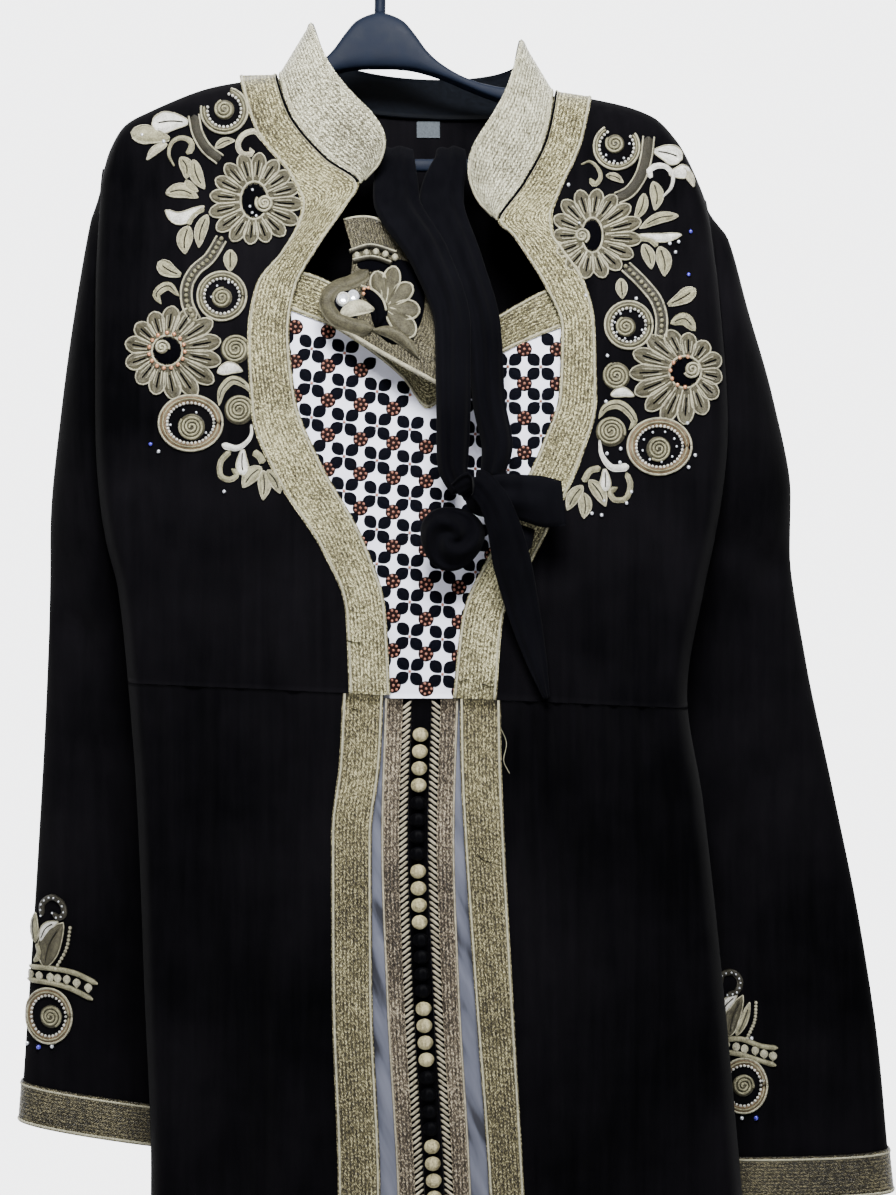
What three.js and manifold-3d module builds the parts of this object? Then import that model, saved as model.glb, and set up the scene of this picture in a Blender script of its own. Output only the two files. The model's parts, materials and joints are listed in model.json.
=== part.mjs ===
// Embroidered kaftan hanging on a plastic hanger, with its tie belt looped over the hanger's bar.
// Millimetres, +z up, x to the viewer's right, y from the viewer's side to the back of the garment.
// The origin is where the hook bears on its rail. Garment pieces are laid out in two flat coordinates,
// "across" (from the garment's centre line) and "drop" (down from the rail), and lifted onto the form
// that the cloth hangs in.
import * as THREE from "three";
import { mergeVertices } from "three/addons/utils/BufferGeometryUtils.js";
import Module from "manifold-3d";

const wasm = await Module();
wasm.setup();

// Driving sizes
const SLIP = 28; // how far the garment's centre line has slid to the right of the hook
const CLOTH = 1.2; // wall of the crepe panels
const BRAID = 1.4; // wall of the woven metallic trim
const LIFT = 0.35; // clearance between a panel and the trim sewn on it
const SEAM = 0.5; // half of the gap left at a seam
const WAIST = 505;
const WAIST_TILT = 0.045; // the waist seam drops this much for each millimetre across
const HEM = 1518;
const SIDE_ROUND = 14; // how soon the front turns in to the side seam
const TOP_ROUND = 22; // how soon the cloth turns over the shoulder
const ARM_HALF_DEPTH = 20; // half of the armhole, front to back
const ARM_TOP = 172;
const UNDERARM = 402;
const CUFF_TRIM_ROWS = 2;
const BRAID_WIDTH = 16.5; // each herringbone braid beside the buttons
const STRIP_HALF = 6; // black strip that carries the buttons
const COLLAR_HEIGHT = 40;
const COLLAR_END_ROUND = 30;

const table = (names, rows) =>
  rows.map((row) => Object.fromEntries(names.split(" ").map((name, i) => [name, row[i]])));

// Outline of the body (left, right), where its side edge lies front to back (edge), and how far the
// front and the back stand away from that edge.
const BODY = table("drop left right edge front back", [
  [110, -203, 178, 0, 24, 24],
  [172, -203, 177, 0, 26, 26],
  [192, -203.4, 178, 0, 28, 27.5],
  [260, -205, 185, 0, 34, 32],
  [340, -205, 190, -1, 37, 37],
  [402, -201, 184, -4, 38, 40],
  [440, -192, 176, -6, 37, 41],
  [505, -185, 165.5, -8, 35, 40],
  [570, -180, 175, -9, 35, 42],
  [690, -175, 188, -10, 37, 47],
  [800, -171, 198, -10, 40, 50],
  [1150, -186, 228, -9, 49, 58],
  [1520, -206, 252, -8, 60, 66],
]);

// Highest line of the cloth, over the hanger's arms and across the neck.
const SHOULDER = table("across drop", [
  [-203, 172],
  [-198, 160],
  [-187, 143.5],
  [-174, 136],
  [-133, 120],
  [-93, 113.5],
  [-5, 96],
  [83, 124],
  [111, 128.5],
  [143, 138],
  [159, 154],
  [168, 170],
  [178, 192],
]);
const NECK = { left: -93, right: 83, back: 134 };

// The gold band on each front edge of the bodice: its inner edge (the front opening) and outer edge,
// from the shoulder seam round the neck and the bust down to the waist. The collar ends at COLLAR_END.
const BAND = {
  left: table("inAcross inDrop outAcross outDrop", [
    [-93, 113.5, -117, 114],
    [-83, 143, -104, 155],
    [-60, 171, -84, 181],
    [-40, 187, -76, 201],
    [-49, 203, -79, 214],
    [-65, 227, -88, 230],
    [-79, 254, -104, 252],
    [-82.7, 281, -108.6, 283],
    [-78.4, 322, -106, 331],
    [-63, 361, -90, 372],
    [-36.4, 409, -63, 414],
    [-23, 452, -48, 452],
    [-20, 506, -45.5, 505],
  ]),
  right: table("inAcross inDrop outAcross outDrop", [
    [83, 124, 106, 127.5],
    [76, 158, 98, 163],
    [62, 186, 86, 190],
    [46, 210, 80, 208],
    [55, 220, 81, 219],
    [65, 235, 88, 230],
    [76, 254, 98, 245],
    [85, 279, 106, 276],
    [83.5, 318, 107, 322],
    [72, 352, 97, 360],
    [43, 412, 68, 420],
    [24, 455, 49, 458],
    [18, 506, 45, 508],
  ]),
};
const COLLAR_END = 3;
const BODICE_ROWS = [0, 0.1, 0.4, 1, 1.5, 2, 2.5, 3, 3.5, 4, 5, 6, 7, 8, 9, 10, 11, 12];

// The front opening below the waist, with the gold band on each edge.
const SKIRT = table("drop leftIn leftOut rightIn rightOut", [
  [509, -24.2, -49.5, 22.2, 47.5],
  [594, -35, -59, 25, 50],
  [689, -31, -56, 31.5, 55],
  [813, -26, -52, 40.5, 62],
  [1150, -34, -60, 52, 77],
  [1518, -46, -72, 63, 88],
]);
// Centre line of the button strip on the underskirt.
const PLACKET = table("drop centre", [
  [509, -1],
  [592, -3.3],
  [689, 0],
  [813, 7],
  [1150, 14],
  [1518, 18],
]);

// Sleeves, ring by ring: where the outer and the inner fold of the tube lie, its half depth front to
// back, how far back its middle lies and how square its section is (1 is an ellipse).
const SLEEVE = {
  left: table("outAcross outDrop inAcross inDrop deep back square", [
    [-203, 172, -201, 402, 20, 0, 1],
    [-211, 203, -206, 411, 22, 1, 1],
    [-221, 258, -207, 423, 23, 3, 0.95],
    [-231, 325, -204, 441, 22, 7, 0.9],
    [-239, 395, -196, 470, 20, 13, 0.85],
    [-241, 455, -185, 508, 18, 18, 0.85],
    [-244.5, 525, -172, 556, 17, 22, 0.85],
    [-250, 612, -160, 630, 16, 25, 0.85],
    [-256, 700, -150, 712, 16, 27, 0.85],
    [-260, 756, -145, 773, 17, 28, 0.85],
    [-262, 782, -144, 800, 18, 28, 0.85],
  ]),
  right: table("outAcross outDrop inAcross inDrop deep back square", [
    [178, 192, 184, 402, 20, 0, 1],
    [192, 214, 189, 411, 22, 1, 1],
    [206, 262, 193, 423, 23, 3, 0.95],
    [222, 316, 193, 440, 22, 7, 0.9],
    [234.5, 377, 187, 466, 20, 13, 0.85],
    [235, 415, 177, 503, 18, 18, 0.85],
    [246, 485, 166, 556, 17, 22, 0.85],
    [264, 568, 162, 628, 16, 25, 0.85],
    [281, 650, 164, 700, 16, 27, 0.85],
    [294, 735, 170, 765, 17, 28, 0.85],
    [300, 800, 174, 803, 18, 28, 0.85],
    [303, 828, 176, 830, 18, 28, 0.85],
  ]),
};
const SLEEVE_SIDES = 16;

// Hanger: half of its moulded arm from the middle out, and its half thickness.
const HANGER = table("x top bottom half", [
  [0, 73, 108.5, 7],
  [7, 75, 108.5, 7],
  [15, 79, 109, 7],
  [22, 87, 110, 7],
  [30, 98, 112, 7],
  [38, 105.5, 114.5, 7],
  [54, 115, 121, 7.5],
  [66, 119, 126, 7],
  [105, 126, 139, 8],
  [146, 142, 153, 7.5],
  [154, 149, 157, 6.5],
]);
const HOOK = { rod: 3.5, bend: 20, stemFoot: 72.4, tipTurn: 40 };
const BAR = { drop: 170, half: 4, thick: 3, reach: 138, strut: 151, strutDrop: 157.2 };

// A smooth line through the points (xs, ys) that never overshoots them.
function smoothLine(xs, ys) {
  const last = xs.length - 1;
  const step = xs.slice(1).map((x, i) => x - xs[i]);
  const slope = step.map((h, i) => (ys[i + 1] - ys[i]) / h);
  const tangent = xs.map((_, i) => {
    if (i === 0) return slope[0];
    if (i === last) return slope[last - 1];
    const [a, b] = [slope[i - 1], slope[i]];
    if (a * b <= 0) return 0;
    const [h, k] = [step[i - 1], step[i]];
    return (3 * (h + k)) / ((2 * k + h) / a + (k + 2 * h) / b);
  });
  return (x) => {
    if (x <= xs[0]) return ys[0] + tangent[0] * (x - xs[0]);
    if (x >= xs[last]) return ys[last] + tangent[last] * (x - xs[last]);
    let i = 0;
    while (x > xs[i + 1]) i++;
    const t = (x - xs[i]) / step[i];
    const [t2, t3] = [t * t, t * t * t];
    return (
      (2 * t3 - 3 * t2 + 1) * ys[i] +
      (t3 - 2 * t2 + t) * step[i] * tangent[i] +
      (3 * t2 - 2 * t3) * ys[i + 1] +
      (t3 - t2) * step[i] * tangent[i + 1]
    );
  };
}
const byColumn = (rows, by) => {
  const names = Object.keys(rows[0]).filter((name) => name !== by);
  const xs = rows.map((row, i) => (by ? row[by] : i));
  const lines = names.map((name) => [name, smoothLine(xs, rows.map((row) => row[name]))]);
  return (x) => Object.fromEntries(lines.map(([name, line]) => [name, line(x)]));
};
const bodyAt = byColumn(BODY, "drop");
const shoulderLine = byColumn(SHOULDER, "across");
const shoulderAt = (across) => shoulderLine(across).drop;
const bandAt = { left: byColumn(BAND.left), right: byColumn(BAND.right) };
const skirtAt = byColumn(SKIRT, "drop");
const placketAt = byColumn(PLACKET, "drop");
const waistAt = (across) => WAIST + WAIST_TILT * across;
const mix = (a, b, t) => a + (b - a) * t;
const clamp = (x, low = 0, high = 1) => Math.min(high, Math.max(low, x));
const ease = (x) => clamp(x) ** 2 * (3 - 2 * clamp(x));
const quarterRound = (x) => Math.sqrt(1 - (1 - clamp(x)) ** 2);

// How far the armhole's edge stands from the side edge at this drop.
function armEdge(drop) {
  const t = (drop - (ARM_TOP + UNDERARM) / 2) / ((UNDERARM - ARM_TOP) / 2);
  return Math.abs(t) < 1 ? ARM_HALF_DEPTH * Math.sqrt(1 - t * t) : 0;
}

// Depth of the hanging cloth's outer face.
function frontDepth(across, drop) {
  const body = bodyAt(drop);
  const inFromSide = Math.min(across - body.left, body.right - across);
  const arm = armEdge(drop);
  const side = quarterRound(inFromSide / SIDE_ROUND);
  const top = quarterRound((drop - shoulderAt(across)) / TOP_ROUND);
  return body.edge - SEAM - (arm + (body.front - arm) * side) * top;
}
const BACK_EDGE = { round: 12, reach: 95 };
function backDepth(across, drop) {
  const body = bodyAt(drop);
  const inFromSide = Math.min(across - body.left, body.right - across);
  const edge = Math.max(armEdge(drop), BACK_EDGE.round * quarterRound(inFromSide / BACK_EDGE.round));
  const top = quarterRound((drop - shoulderAt(across)) / TOP_ROUND);
  return body.edge + SEAM + (edge + (body.back - edge) * ease(inFromSide / BACK_EDGE.reach)) * top;
}

// A point of the garment's flat layout, placed at a depth.
const place = (across, drop, depth) => new THREE.Vector3(across + SLIP, depth, -drop);

function buildGeometry(points, triangles) {
  const geometry = new THREE.BufferGeometry();
  geometry.setAttribute("position", new THREE.Float32BufferAttribute(points.flatMap((p) => p.toArray()), 3));
  let volume = 0;
  for (const [a, b, c] of triangles) volume += points[a].dot(points[b].clone().cross(points[c]));
  geometry.setIndex(triangles.flatMap(([a, b, c]) => (volume < 0 ? [a, c, b] : [a, b, c])));
  return geometry;
}

// The outward normals of a grid of points. Outward is the side that faces away from "inside".
function gridNormals(grid, closed, outward) {
  const [rows, cols] = [grid.length, grid[0].length];
  return grid.map((line, r) =>
    line.map((_, c) => {
      const along = grid[Math.min(r + 1, rows - 1)][c].clone().sub(grid[Math.max(r - 1, 0)][c]);
      const next = closed ? (c + 1) % cols : Math.min(c + 1, cols - 1);
      const before = closed ? (c + cols - 1) % cols : Math.max(c - 1, 0);
      const normal = grid[r][next].clone().sub(grid[r][before]).cross(along).normalize();
      return normal.multiplyScalar(outward);
    }),
  );
}

// A closed wall between two offsets from a grid of points. A closed grid is a tube, open at its ends.
function layer(grid, low, high, { closed = false, outward = 1 } = {}) {
  const normals = gridNormals(grid, closed, outward);
  const [rows, cols] = [grid.length, grid[0].length];
  const points = [high, low].flatMap((offset) =>
    grid.flatMap((line, r) => line.map((p, c) => p.clone().addScaledVector(normals[r][c], offset))),
  );
  const at = (face, r, c) => face * rows * cols + r * cols + (c % cols);
  const triangles = [];
  const quad = (a, b, c, d) => triangles.push([a, b, c], [a, c, d]);
  const span = closed ? cols : cols - 1;
  for (let r = 0; r < rows - 1; r++)
    for (let c = 0; c < span; c++) {
      quad(at(0, r, c), at(0, r, c + 1), at(0, r + 1, c + 1), at(0, r + 1, c));
      quad(at(1, r, c), at(1, r + 1, c), at(1, r + 1, c + 1), at(1, r, c + 1));
    }
  for (let c = 0; c < span; c++) {
    quad(at(0, 0, c), at(1, 0, c), at(1, 0, c + 1), at(0, 0, c + 1));
    quad(at(0, rows - 1, c), at(0, rows - 1, c + 1), at(1, rows - 1, c + 1), at(1, rows - 1, c));
  }
  if (!closed)
    for (let r = 0; r < rows - 1; r++) {
      quad(at(0, r, 0), at(0, r + 1, 0), at(1, r + 1, 0), at(1, r, 0));
      quad(at(0, r, cols - 1), at(1, r, cols - 1), at(1, r + 1, cols - 1), at(0, r + 1, cols - 1));
    }
  return buildGeometry(points, triangles);
}

// A closed solid through rings of points, with a flat cap on each end.
function loft(rings) {
  const sides = rings[0].length;
  const points = rings.flat();
  const at = (r, c) => r * sides + (c % sides);
  const triangles = [];
  for (let r = 0; r < rings.length - 1; r++)
    for (let c = 0; c < sides; c++)
      triangles.push([at(r, c), at(r, c + 1), at(r + 1, c + 1)], [at(r, c), at(r + 1, c + 1), at(r + 1, c)]);
  for (let c = 1; c < sides - 1; c++) {
    triangles.push([at(0, 0), at(0, c + 1), at(0, c)]);
    triangles.push([at(rings.length - 1, 0), at(rings.length - 1, c), at(rings.length - 1, c + 1)]);
  }
  return buildGeometry(points, triangles);
}

// A geometry as a solid that can be joined to others, and a solid's points and triangles.
function solidFrom(geometry) {
  const bare = geometry.index ? geometry.toNonIndexed() : geometry;
  bare.deleteAttribute("normal");
  bare.deleteAttribute("uv");
  const merged = mergeVertices(bare, 1e-4);
  const vertProperties = merged.attributes.position.array;
  const triVerts = new Uint32Array(merged.index.array);
  return new wasm.Manifold(new wasm.Mesh({ numProp: 3, vertProperties, triVerts }));
}
function surfaceOf(solid) {
  const { numProp, numVert, numTri, vertProperties, triVerts } = solid.getMesh();
  const point = (_, i) => new THREE.Vector3(...vertProperties.slice(i * numProp, i * numProp + 3));
  const points = Array.from({ length: numVert }, point);
  return { points, triangles: Array.from({ length: numTri }, (_, i) => [...triVerts.slice(3 * i, 3 * i + 3)]) };
}

const kaftan = new THREE.Group();
const FINISH = {
  crepe: new THREE.MeshStandardMaterial({ color: 0x101014, roughness: 0.85, metalness: 0 }),
  braid: new THREE.MeshStandardMaterial({ color: 0xb5aa80, roughness: 0.45, metalness: 0.6 }),
  herringbone: new THREE.MeshStandardMaterial({ color: 0xa89c86, roughness: 0.5, metalness: 0.5 }),
  print: new THREE.MeshStandardMaterial({ color: 0xe6e6ee, roughness: 0.8, metalness: 0 }),
  satin: new THREE.MeshStandardMaterial({ color: 0x9a9cac, roughness: 0.4, metalness: 0 }),
  thread: new THREE.MeshStandardMaterial({ color: 0xc2b893, roughness: 0.4, metalness: 0.6 }),
  goldButton: new THREE.MeshStandardMaterial({ color: 0xc8bd96, roughness: 0.4, metalness: 0.5 }),
  blackButton: new THREE.MeshStandardMaterial({ color: 0x0c0c10, roughness: 0.6, metalness: 0 }),
  plastic: new THREE.MeshStandardMaterial({ color: 0x222b3a, roughness: 0.4, metalness: 0 }),
  sash: new THREE.MeshStandardMaterial({ color: 0x0e0e12, roughness: 0.9, metalness: 0 }),
  label: new THREE.MeshStandardMaterial({ color: 0x8c8f8c, roughness: 0.7, metalness: 0 }),
};
function add(name, geometry, finish) {
  const mesh = new THREE.Mesh(geometry, FINISH[finish]);
  mesh.name = name;
  kaftan.add(mesh);
  return mesh;
}

// Flat layout of the front of the bodice, from the opening across the gold band to the side.
const SIDE_COLUMNS = [SIDE_ROUND, 7, 1.9, 0]; // distances in from the side edge
const BODICE_FILL = [0.22, 0.44, 0.66, 0.85];
function outerEdge(side, t) {
  const tip = SLEEVE[side][0].outDrop;
  const drop = mix(tip, waistAt(bodyAt(WAIST)[side]) - SEAM, t);
  return [bodyAt(drop)[side], drop];
}
function bodiceLayout(side, index) {
  const t = index / (BAND[side].length - 1);
  const band = bandAt[side](index);
  const sign = side === "left" ? 1 : -1;
  const [edge, edgeDrop] = outerEdge(side, t);
  const floor = (across, drop) => Math.min(drop, waistAt(across) - SEAM);
  const bandOut = [band.outAcross, floor(band.outAcross, band.outDrop)];
  const cells = [[band.inAcross, floor(band.inAcross, band.inDrop)], bandOut];
  const inner = edge + sign * SIDE_ROUND;
  for (const a of [...BODICE_FILL, ...SIDE_COLUMNS.map((inset) => 1 + (SIDE_ROUND - inset) / 1e3)]) {
    const inset = a >= 1 ? SIDE_ROUND - (a - 1) * 1e3 : 0;
    const across = a >= 1 ? edge + sign * inset : mix(bandOut[0], inner, a);
    const share = (across - bandOut[0]) / (edge - bandOut[0]);
    // The top row follows the shoulder line, and its curve dies away down the bodice.
    const start = bandAt[side](0);
    const [tip, tipDrop] = outerEdge(side, 0);
    const topAcross = mix(start.outAcross, tip, share);
    const bow = shoulderAt(topAcross) - mix(start.outDrop, tipDrop, share);
    cells.push([across, floor(across, mix(bandOut[1], edgeDrop, share) + bow * (1 - t) ** 2)]);
  }
  return cells;
}
// A crease beside the bust that runs on into the skirt, as the left front is folded over there.
const BUST_CREASE = { side: "left", across: -100, from: 372, half: 7, deep: 5 };
function creaseDepth(side, across, drop) {
  if (side !== BUST_CREASE.side) return 0;
  const near = 1 - clamp(Math.abs(across - BUST_CREASE.across) / BUST_CREASE.half);
  return BUST_CREASE.deep * near * ease((drop - BUST_CREASE.from) / 90);
}
const lifted = (side) => ([across, drop]) =>
  place(across, drop, frontDepth(across, drop) + creaseDepth(side, across, drop));
function addBodiceFront(side) {
  const grid = BODICE_ROWS.map((index) => bodiceLayout(side, index).map(lifted(side)));
  const outward = side === "left" ? 1 : -1;
  add(`front_bodice_${side}`, layer(grid, -CLOTH, 0, { outward }), "crepe");
  const band = grid.map((line) => line.slice(0, 2));
  add(`band_bodice_${side}`, layer(band, LIFT, LIFT + BRAID, { outward }), "braid");
}

// Flat layout of the front of the skirt. Gathers below the waist open into a few broad folds.
const SKIRT_ROWS = [0, 0.03, 0.08, 0.16, 0.28, 0.44, 0.62, 0.81, 1];
const GATHERS = { left: 4, right: 6 };
const GATHER = { deep: 2.2, fade: 0.24 };
const FOLDS = {
  left: table("at width deep", [
    [0.42, 0.1, 13],
    [0.72, 0.12, 9],
  ]),
  right: table("at width deep", [
    [0.25, 0.1, 7],
    [0.55, 0.12, 12],
    [0.8, 0.1, 9],
  ]),
};
function skirtFold(side, share, t) {
  const inBand = ease(share / 0.08) * ease((1 - share) / 0.1);
  const gather = Math.cos(2 * Math.PI * GATHERS[side] * share) * GATHER.deep * (1 - ease(t / GATHER.fade));
  const folds = FOLDS[side].map(
    ({ at, width, deep }) => deep * ease(0.12 + t) * Math.exp(-(((share - at) / (width * (1 - 0.35 * t))) ** 2)),
  );
  return inBand * (gather + folds.reduce((a, b) => a + b, 0));
}
const skirtLine = (across, t) => mix(waistAt(across) + SEAM, HEM, t);
// Where the side seam of the skirt lies, a share t of the way down.
function skirtSide(side, t) {
  const drop = skirtLine(bodyAt(WAIST)[side], t);
  return [bodyAt(drop)[side], drop];
}
function skirtLayout(side, t) {
  const edges = skirtAt(mix(509, HEM, t));
  const [across, drop] = skirtSide(side, t);
  const sign = side === "left" ? 1 : -1;
  const [bandIn, bandOut] = side === "left" ? [edges.leftIn, edges.leftOut] : [edges.rightIn, edges.rightOut];
  const cells = [bandIn, bandOut].map((at) => [at, skirtLine(at, t), 0]);
  const inner = across + sign * SIDE_ROUND;
  const count = 2 * GATHERS[side];
  for (let i = 1; i < count; i++) {
    const at = mix(bandOut, inner, i / count);
    cells.push([at, mix(skirtLine(bandOut, t), drop, i / count), i / count]);
  }
  for (const inset of SIDE_COLUMNS) cells.push([across + sign * inset, drop, 1]);
  return cells;
}
function addSkirtFront(side) {
  const grid = SKIRT_ROWS.map((t) =>
    skirtLayout(side, t).map(([across, drop, share]) =>
      place(across, drop, frontDepth(across, drop) + skirtFold(side, share, t)),
    ),
  );
  const outward = side === "left" ? 1 : -1;
  add(`front_skirt_${side}`, layer(grid, -CLOTH, 0, { outward }), "crepe");
  const band = grid.map((line) => line.slice(0, 2));
  add(`band_skirt_${side}`, layer(band, LIFT, LIFT + BRAID, { outward }), "braid");
}

// Back of the bodice: one panel from armhole to armhole, cut out round the neck.
function backNeckDrop(across) {
  const t = clamp((across - NECK.left) / (NECK.right - NECK.left));
  const level = mix(shoulderAt(NECK.left), shoulderAt(NECK.right), t);
  const scoop = NECK.back - mix(shoulderAt(NECK.left), shoulderAt(NECK.right), 0.5);
  return level + scoop * Math.sqrt(1 - (2 * t - 1) ** 2);
}
const inNeck = (across) => across > NECK.left && across < NECK.right;
const backTop = (across) => (inNeck(across) ? backNeckDrop(across) : shoulderAt(across));
const steps = (from, to, count) => Array.from({ length: count + 1 }, (_, i) => mix(from, to, i / count));
const BACK_TOP_COLUMNS = [
  ...[-203, -201, -195, -174, -150, -125],
  ...steps(0, Math.PI, 8).map((turn) => mix(NECK.left, NECK.right, (1 - Math.cos(turn)) / 2)),
  ...[111, 136, 158, 170, 176, 178],
];
const BACK_ROWS = [0, 0.008, 0.03, 0.06, 0.2, 0.4, 0.6, 0.8, 1];
function backBodiceLayout(topAcross, t) {
  const [tipL, tipR] = [BACK_TOP_COLUMNS[0], BACK_TOP_COLUMNS.at(-1)];
  const share = (topAcross - tipL) / (tipR - tipL);
  const waist = bodyAt(WAIST);
  const bottomAcross = mix(waist.left, waist.right, share);
  const top = [topAcross, backTop(topAcross)];
  const bottom = [bottomAcross, waistAt(bottomAcross) - SEAM];
  const [edgeL, edgeR] = [outerEdge("left", t), outerEdge("right", t)];
  const corner = (i) => {
    const tips = [outerEdge("left", 0)[i], outerEdge("right", 0)[i]];
    const feet = [outerEdge("left", 1)[i], outerEdge("right", 1)[i]];
    return mix(mix(...tips, share), mix(...feet, share), t);
  };
  return [0, 1].map((i) => mix(top[i], bottom[i], t) + mix(edgeL[i], edgeR[i], share) - corner(i));
}
function addBack() {
  const bodice = BACK_ROWS.map((t) =>
    BACK_TOP_COLUMNS.map((topAcross) => {
      const [across, drop] = backBodiceLayout(topAcross, t);
      return place(across, drop, backDepth(across, drop));
    }),
  );
  add("back_bodice", layer(bodice, -CLOTH, 0, { outward: 1 }), "crepe");
  const shares = [0, 0.006, 0.022, ...steps(0.06, 0.94, 16), 0.978, 0.994, 1];
  const skirt = SKIRT_ROWS.map((t) =>
    shares.map((share) => {
      const [left, right] = [skirtSide("left", t), skirtSide("right", t)];
      const [across, drop] = [0, 1].map((i) => mix(left[i], right[i], share));
      return place(across, drop, backDepth(across, drop) + backFold(share, t));
    }),
  );
  add("back_skirt", layer(skirt, -CLOTH, 0, { outward: 1 }), "crepe");
}
const BACK_FOLDS = { count: 4, deep: 13 };
function backFold(share, t) {
  const inside = ease((share - 0.06) / 0.2) * ease((0.94 - share) / 0.2);
  return -BACK_FOLDS.deep * inside * ease(0.1 + t) * Math.cos(2 * Math.PI * BACK_FOLDS.count * (share - 0.06) / 0.88);
}

// Collar: a stand from one front end round the back of the neck to the other.
const COLLAR_LEAN = {
  front: { inward: 0.77, up: 0.62, back: -0.1 },
  neck: { inward: 0.5, up: 0.86, back: 0.05 },
  back: { inward: 0, up: 0.74, back: 0.67 },
};
const COLLAR_RISE = [0, 0.5, 1];
const NECK_TURNS = steps(0, Math.PI, 8).slice(1, -1);
function leanBetween(from, to, t, sign) {
  const lean = Object.fromEntries(Object.keys(from).map((key) => [key, mix(from[key], to[key], t)]));
  return new THREE.Vector3(sign * lean.inward, lean.back, lean.up).normalize();
}
function collarStations() {
  const rows = BODICE_ROWS.filter((index) => index <= COLLAR_END);
  const front = (side, sign) =>
    rows.map((index) => {
      const band = bandAt[side](index);
      const drop = Math.max(band.inDrop, shoulderAt(band.inAcross));
      const foot = place(band.inAcross, drop, frontDepth(band.inAcross, drop));
      return { foot, lean: leanBetween(COLLAR_LEAN.neck, COLLAR_LEAN.front, index / COLLAR_END, sign) };
    });
  const back = NECK_TURNS.map((turn) => {
    const t = (1 - Math.cos(turn)) / 2;
    const across = mix(NECK.left, NECK.right, t);
    const foot = place(across, backNeckDrop(across), backDepth(across, backNeckDrop(across)));
    const toBack = Math.sin(turn) ** 0.7;
    return { foot, lean: leanBetween(COLLAR_LEAN.neck, COLLAR_LEAN.back, toBack, t < 0.5 ? 1 : -1) };
  });
  return [...front("left", 1).reverse(), ...back, ...front("right", -1)];
}
function addCollar() {
  const stations = collarStations();
  const length = [0];
  for (let i = 1; i < stations.length; i++)
    length.push(length[i - 1] + stations[i].foot.distanceTo(stations[i - 1].foot));
  const grid = COLLAR_RISE.map((rise) =>
    stations.map(({ foot, lean }, i) => {
      const fromEnd = Math.min(length[i], length.at(-1) - length[i]);
      const height = mix(4, COLLAR_HEIGHT, quarterRound(fromEnd / COLLAR_END_ROUND));
      return foot.clone().addScaledVector(lean, SEAM + rise * height);
    }),
  );
  add("collar", layer(grid, -2.9, -2, { outward: -1 }), "crepe");
  add("collar_braid", layer(grid, -0.25 - BRAID, -0.25, { outward: -1 }), "braid");
}

// Sleeves with the gold braid round each cuff.
function sleeveRing(side, row, turn, first) {
  const sign = side === "left" ? -1 : 1;
  const power = (x) => Math.sign(x) * Math.abs(x) ** row.square;
  const [cos, sin] = [power(Math.cos(turn)), power(Math.sin(turn))];
  const drop = mix(row.inDrop, row.outDrop, (1 + cos) / 2);
  const hem = mix(row.inAcross, row.outAcross, (1 + cos) / 2);
  const across = first ? bodyAt(drop)[side] + sign * (0.9 + 0.6 * (1 + cos)) : hem;
  return place(across, drop, row.back - row.deep * sin);
}
function addSleeve(side) {
  const turns = steps(0, 2 * Math.PI, SLEEVE_SIDES).slice(0, -1);
  const grid = SLEEVE[side].map((row, i) => turns.map((turn) => sleeveRing(side, row, turn, i === 0)));
  const outward = side === "left" ? -1 : 1;
  add(`sleeve_${side}`, layer(grid, -CLOTH, 0, { closed: true, outward }), "crepe");
  const cuff = grid.slice(-CUFF_TRIM_ROWS);
  add(`cuff_braid_${side}`, layer(cuff, LIFT, LIFT + BRAID, { closed: true, outward }), "braid");
}

// Bust panel behind the opening, hanging slack in a V, with gold braid along its top edge.
const BUST_TOP = table("share drop braid", [
  [0, 238, 25],
  [0.14, 245, 27],
  [0.3, 262, 27],
  [0.42, 283, 25],
  [0.5, 299, 28],
  [0.58, 292, 24],
  [0.72, 272, 24],
  [0.86, 259, 24],
  [1, 249, 24],
]);
const BUST = { under: 10, out: -3.4, sag: 4, columns: 14 };
const bustTopAt = byColumn(BUST_TOP, "share");
// Across position of the opening's edge at a drop below the bust.
function openingEdge(side) {
  const rows = BAND[side].slice(6);
  return smoothLine(rows.map((row) => row.inDrop), rows.map((row) => row.inAcross));
}
const openingAt = { left: openingEdge("left"), right: openingEdge("right") };
function bustPoint(share, drop) {
  const [left, right] = [openingAt.left(drop) - BUST.under, openingAt.right(drop) + BUST.under];
  const across = mix(left, right, share);
  const slack = BUST.sag * Math.sin(Math.PI * share) * ease((470 - drop) / 160);
  return place(across, drop, frontDepth(across, drop) + slack);
}
function addBust() {
  const shares = steps(0, 1, BUST.columns);
  const grid = [0, 1, 1.16, 1.4, 1.6, 1.8, 2].map((t) =>
    shares.map((share) => {
      const { drop, braid } = bustTopAt(share);
      const line = t <= 1 ? drop + braid * t : mix(drop + braid, WAIST - 1, t - 1);
      return bustPoint(share, line);
    }),
  );
  add("bust_panel", layer(grid, BUST.out - 1, BUST.out, { outward: -1 }), "print");
  add("bust_braid", layer(grid.slice(0, 2), BUST.out + 0.3, BUST.out + 0.3 + 1.2, { outward: -1 }), "braid");
}

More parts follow.
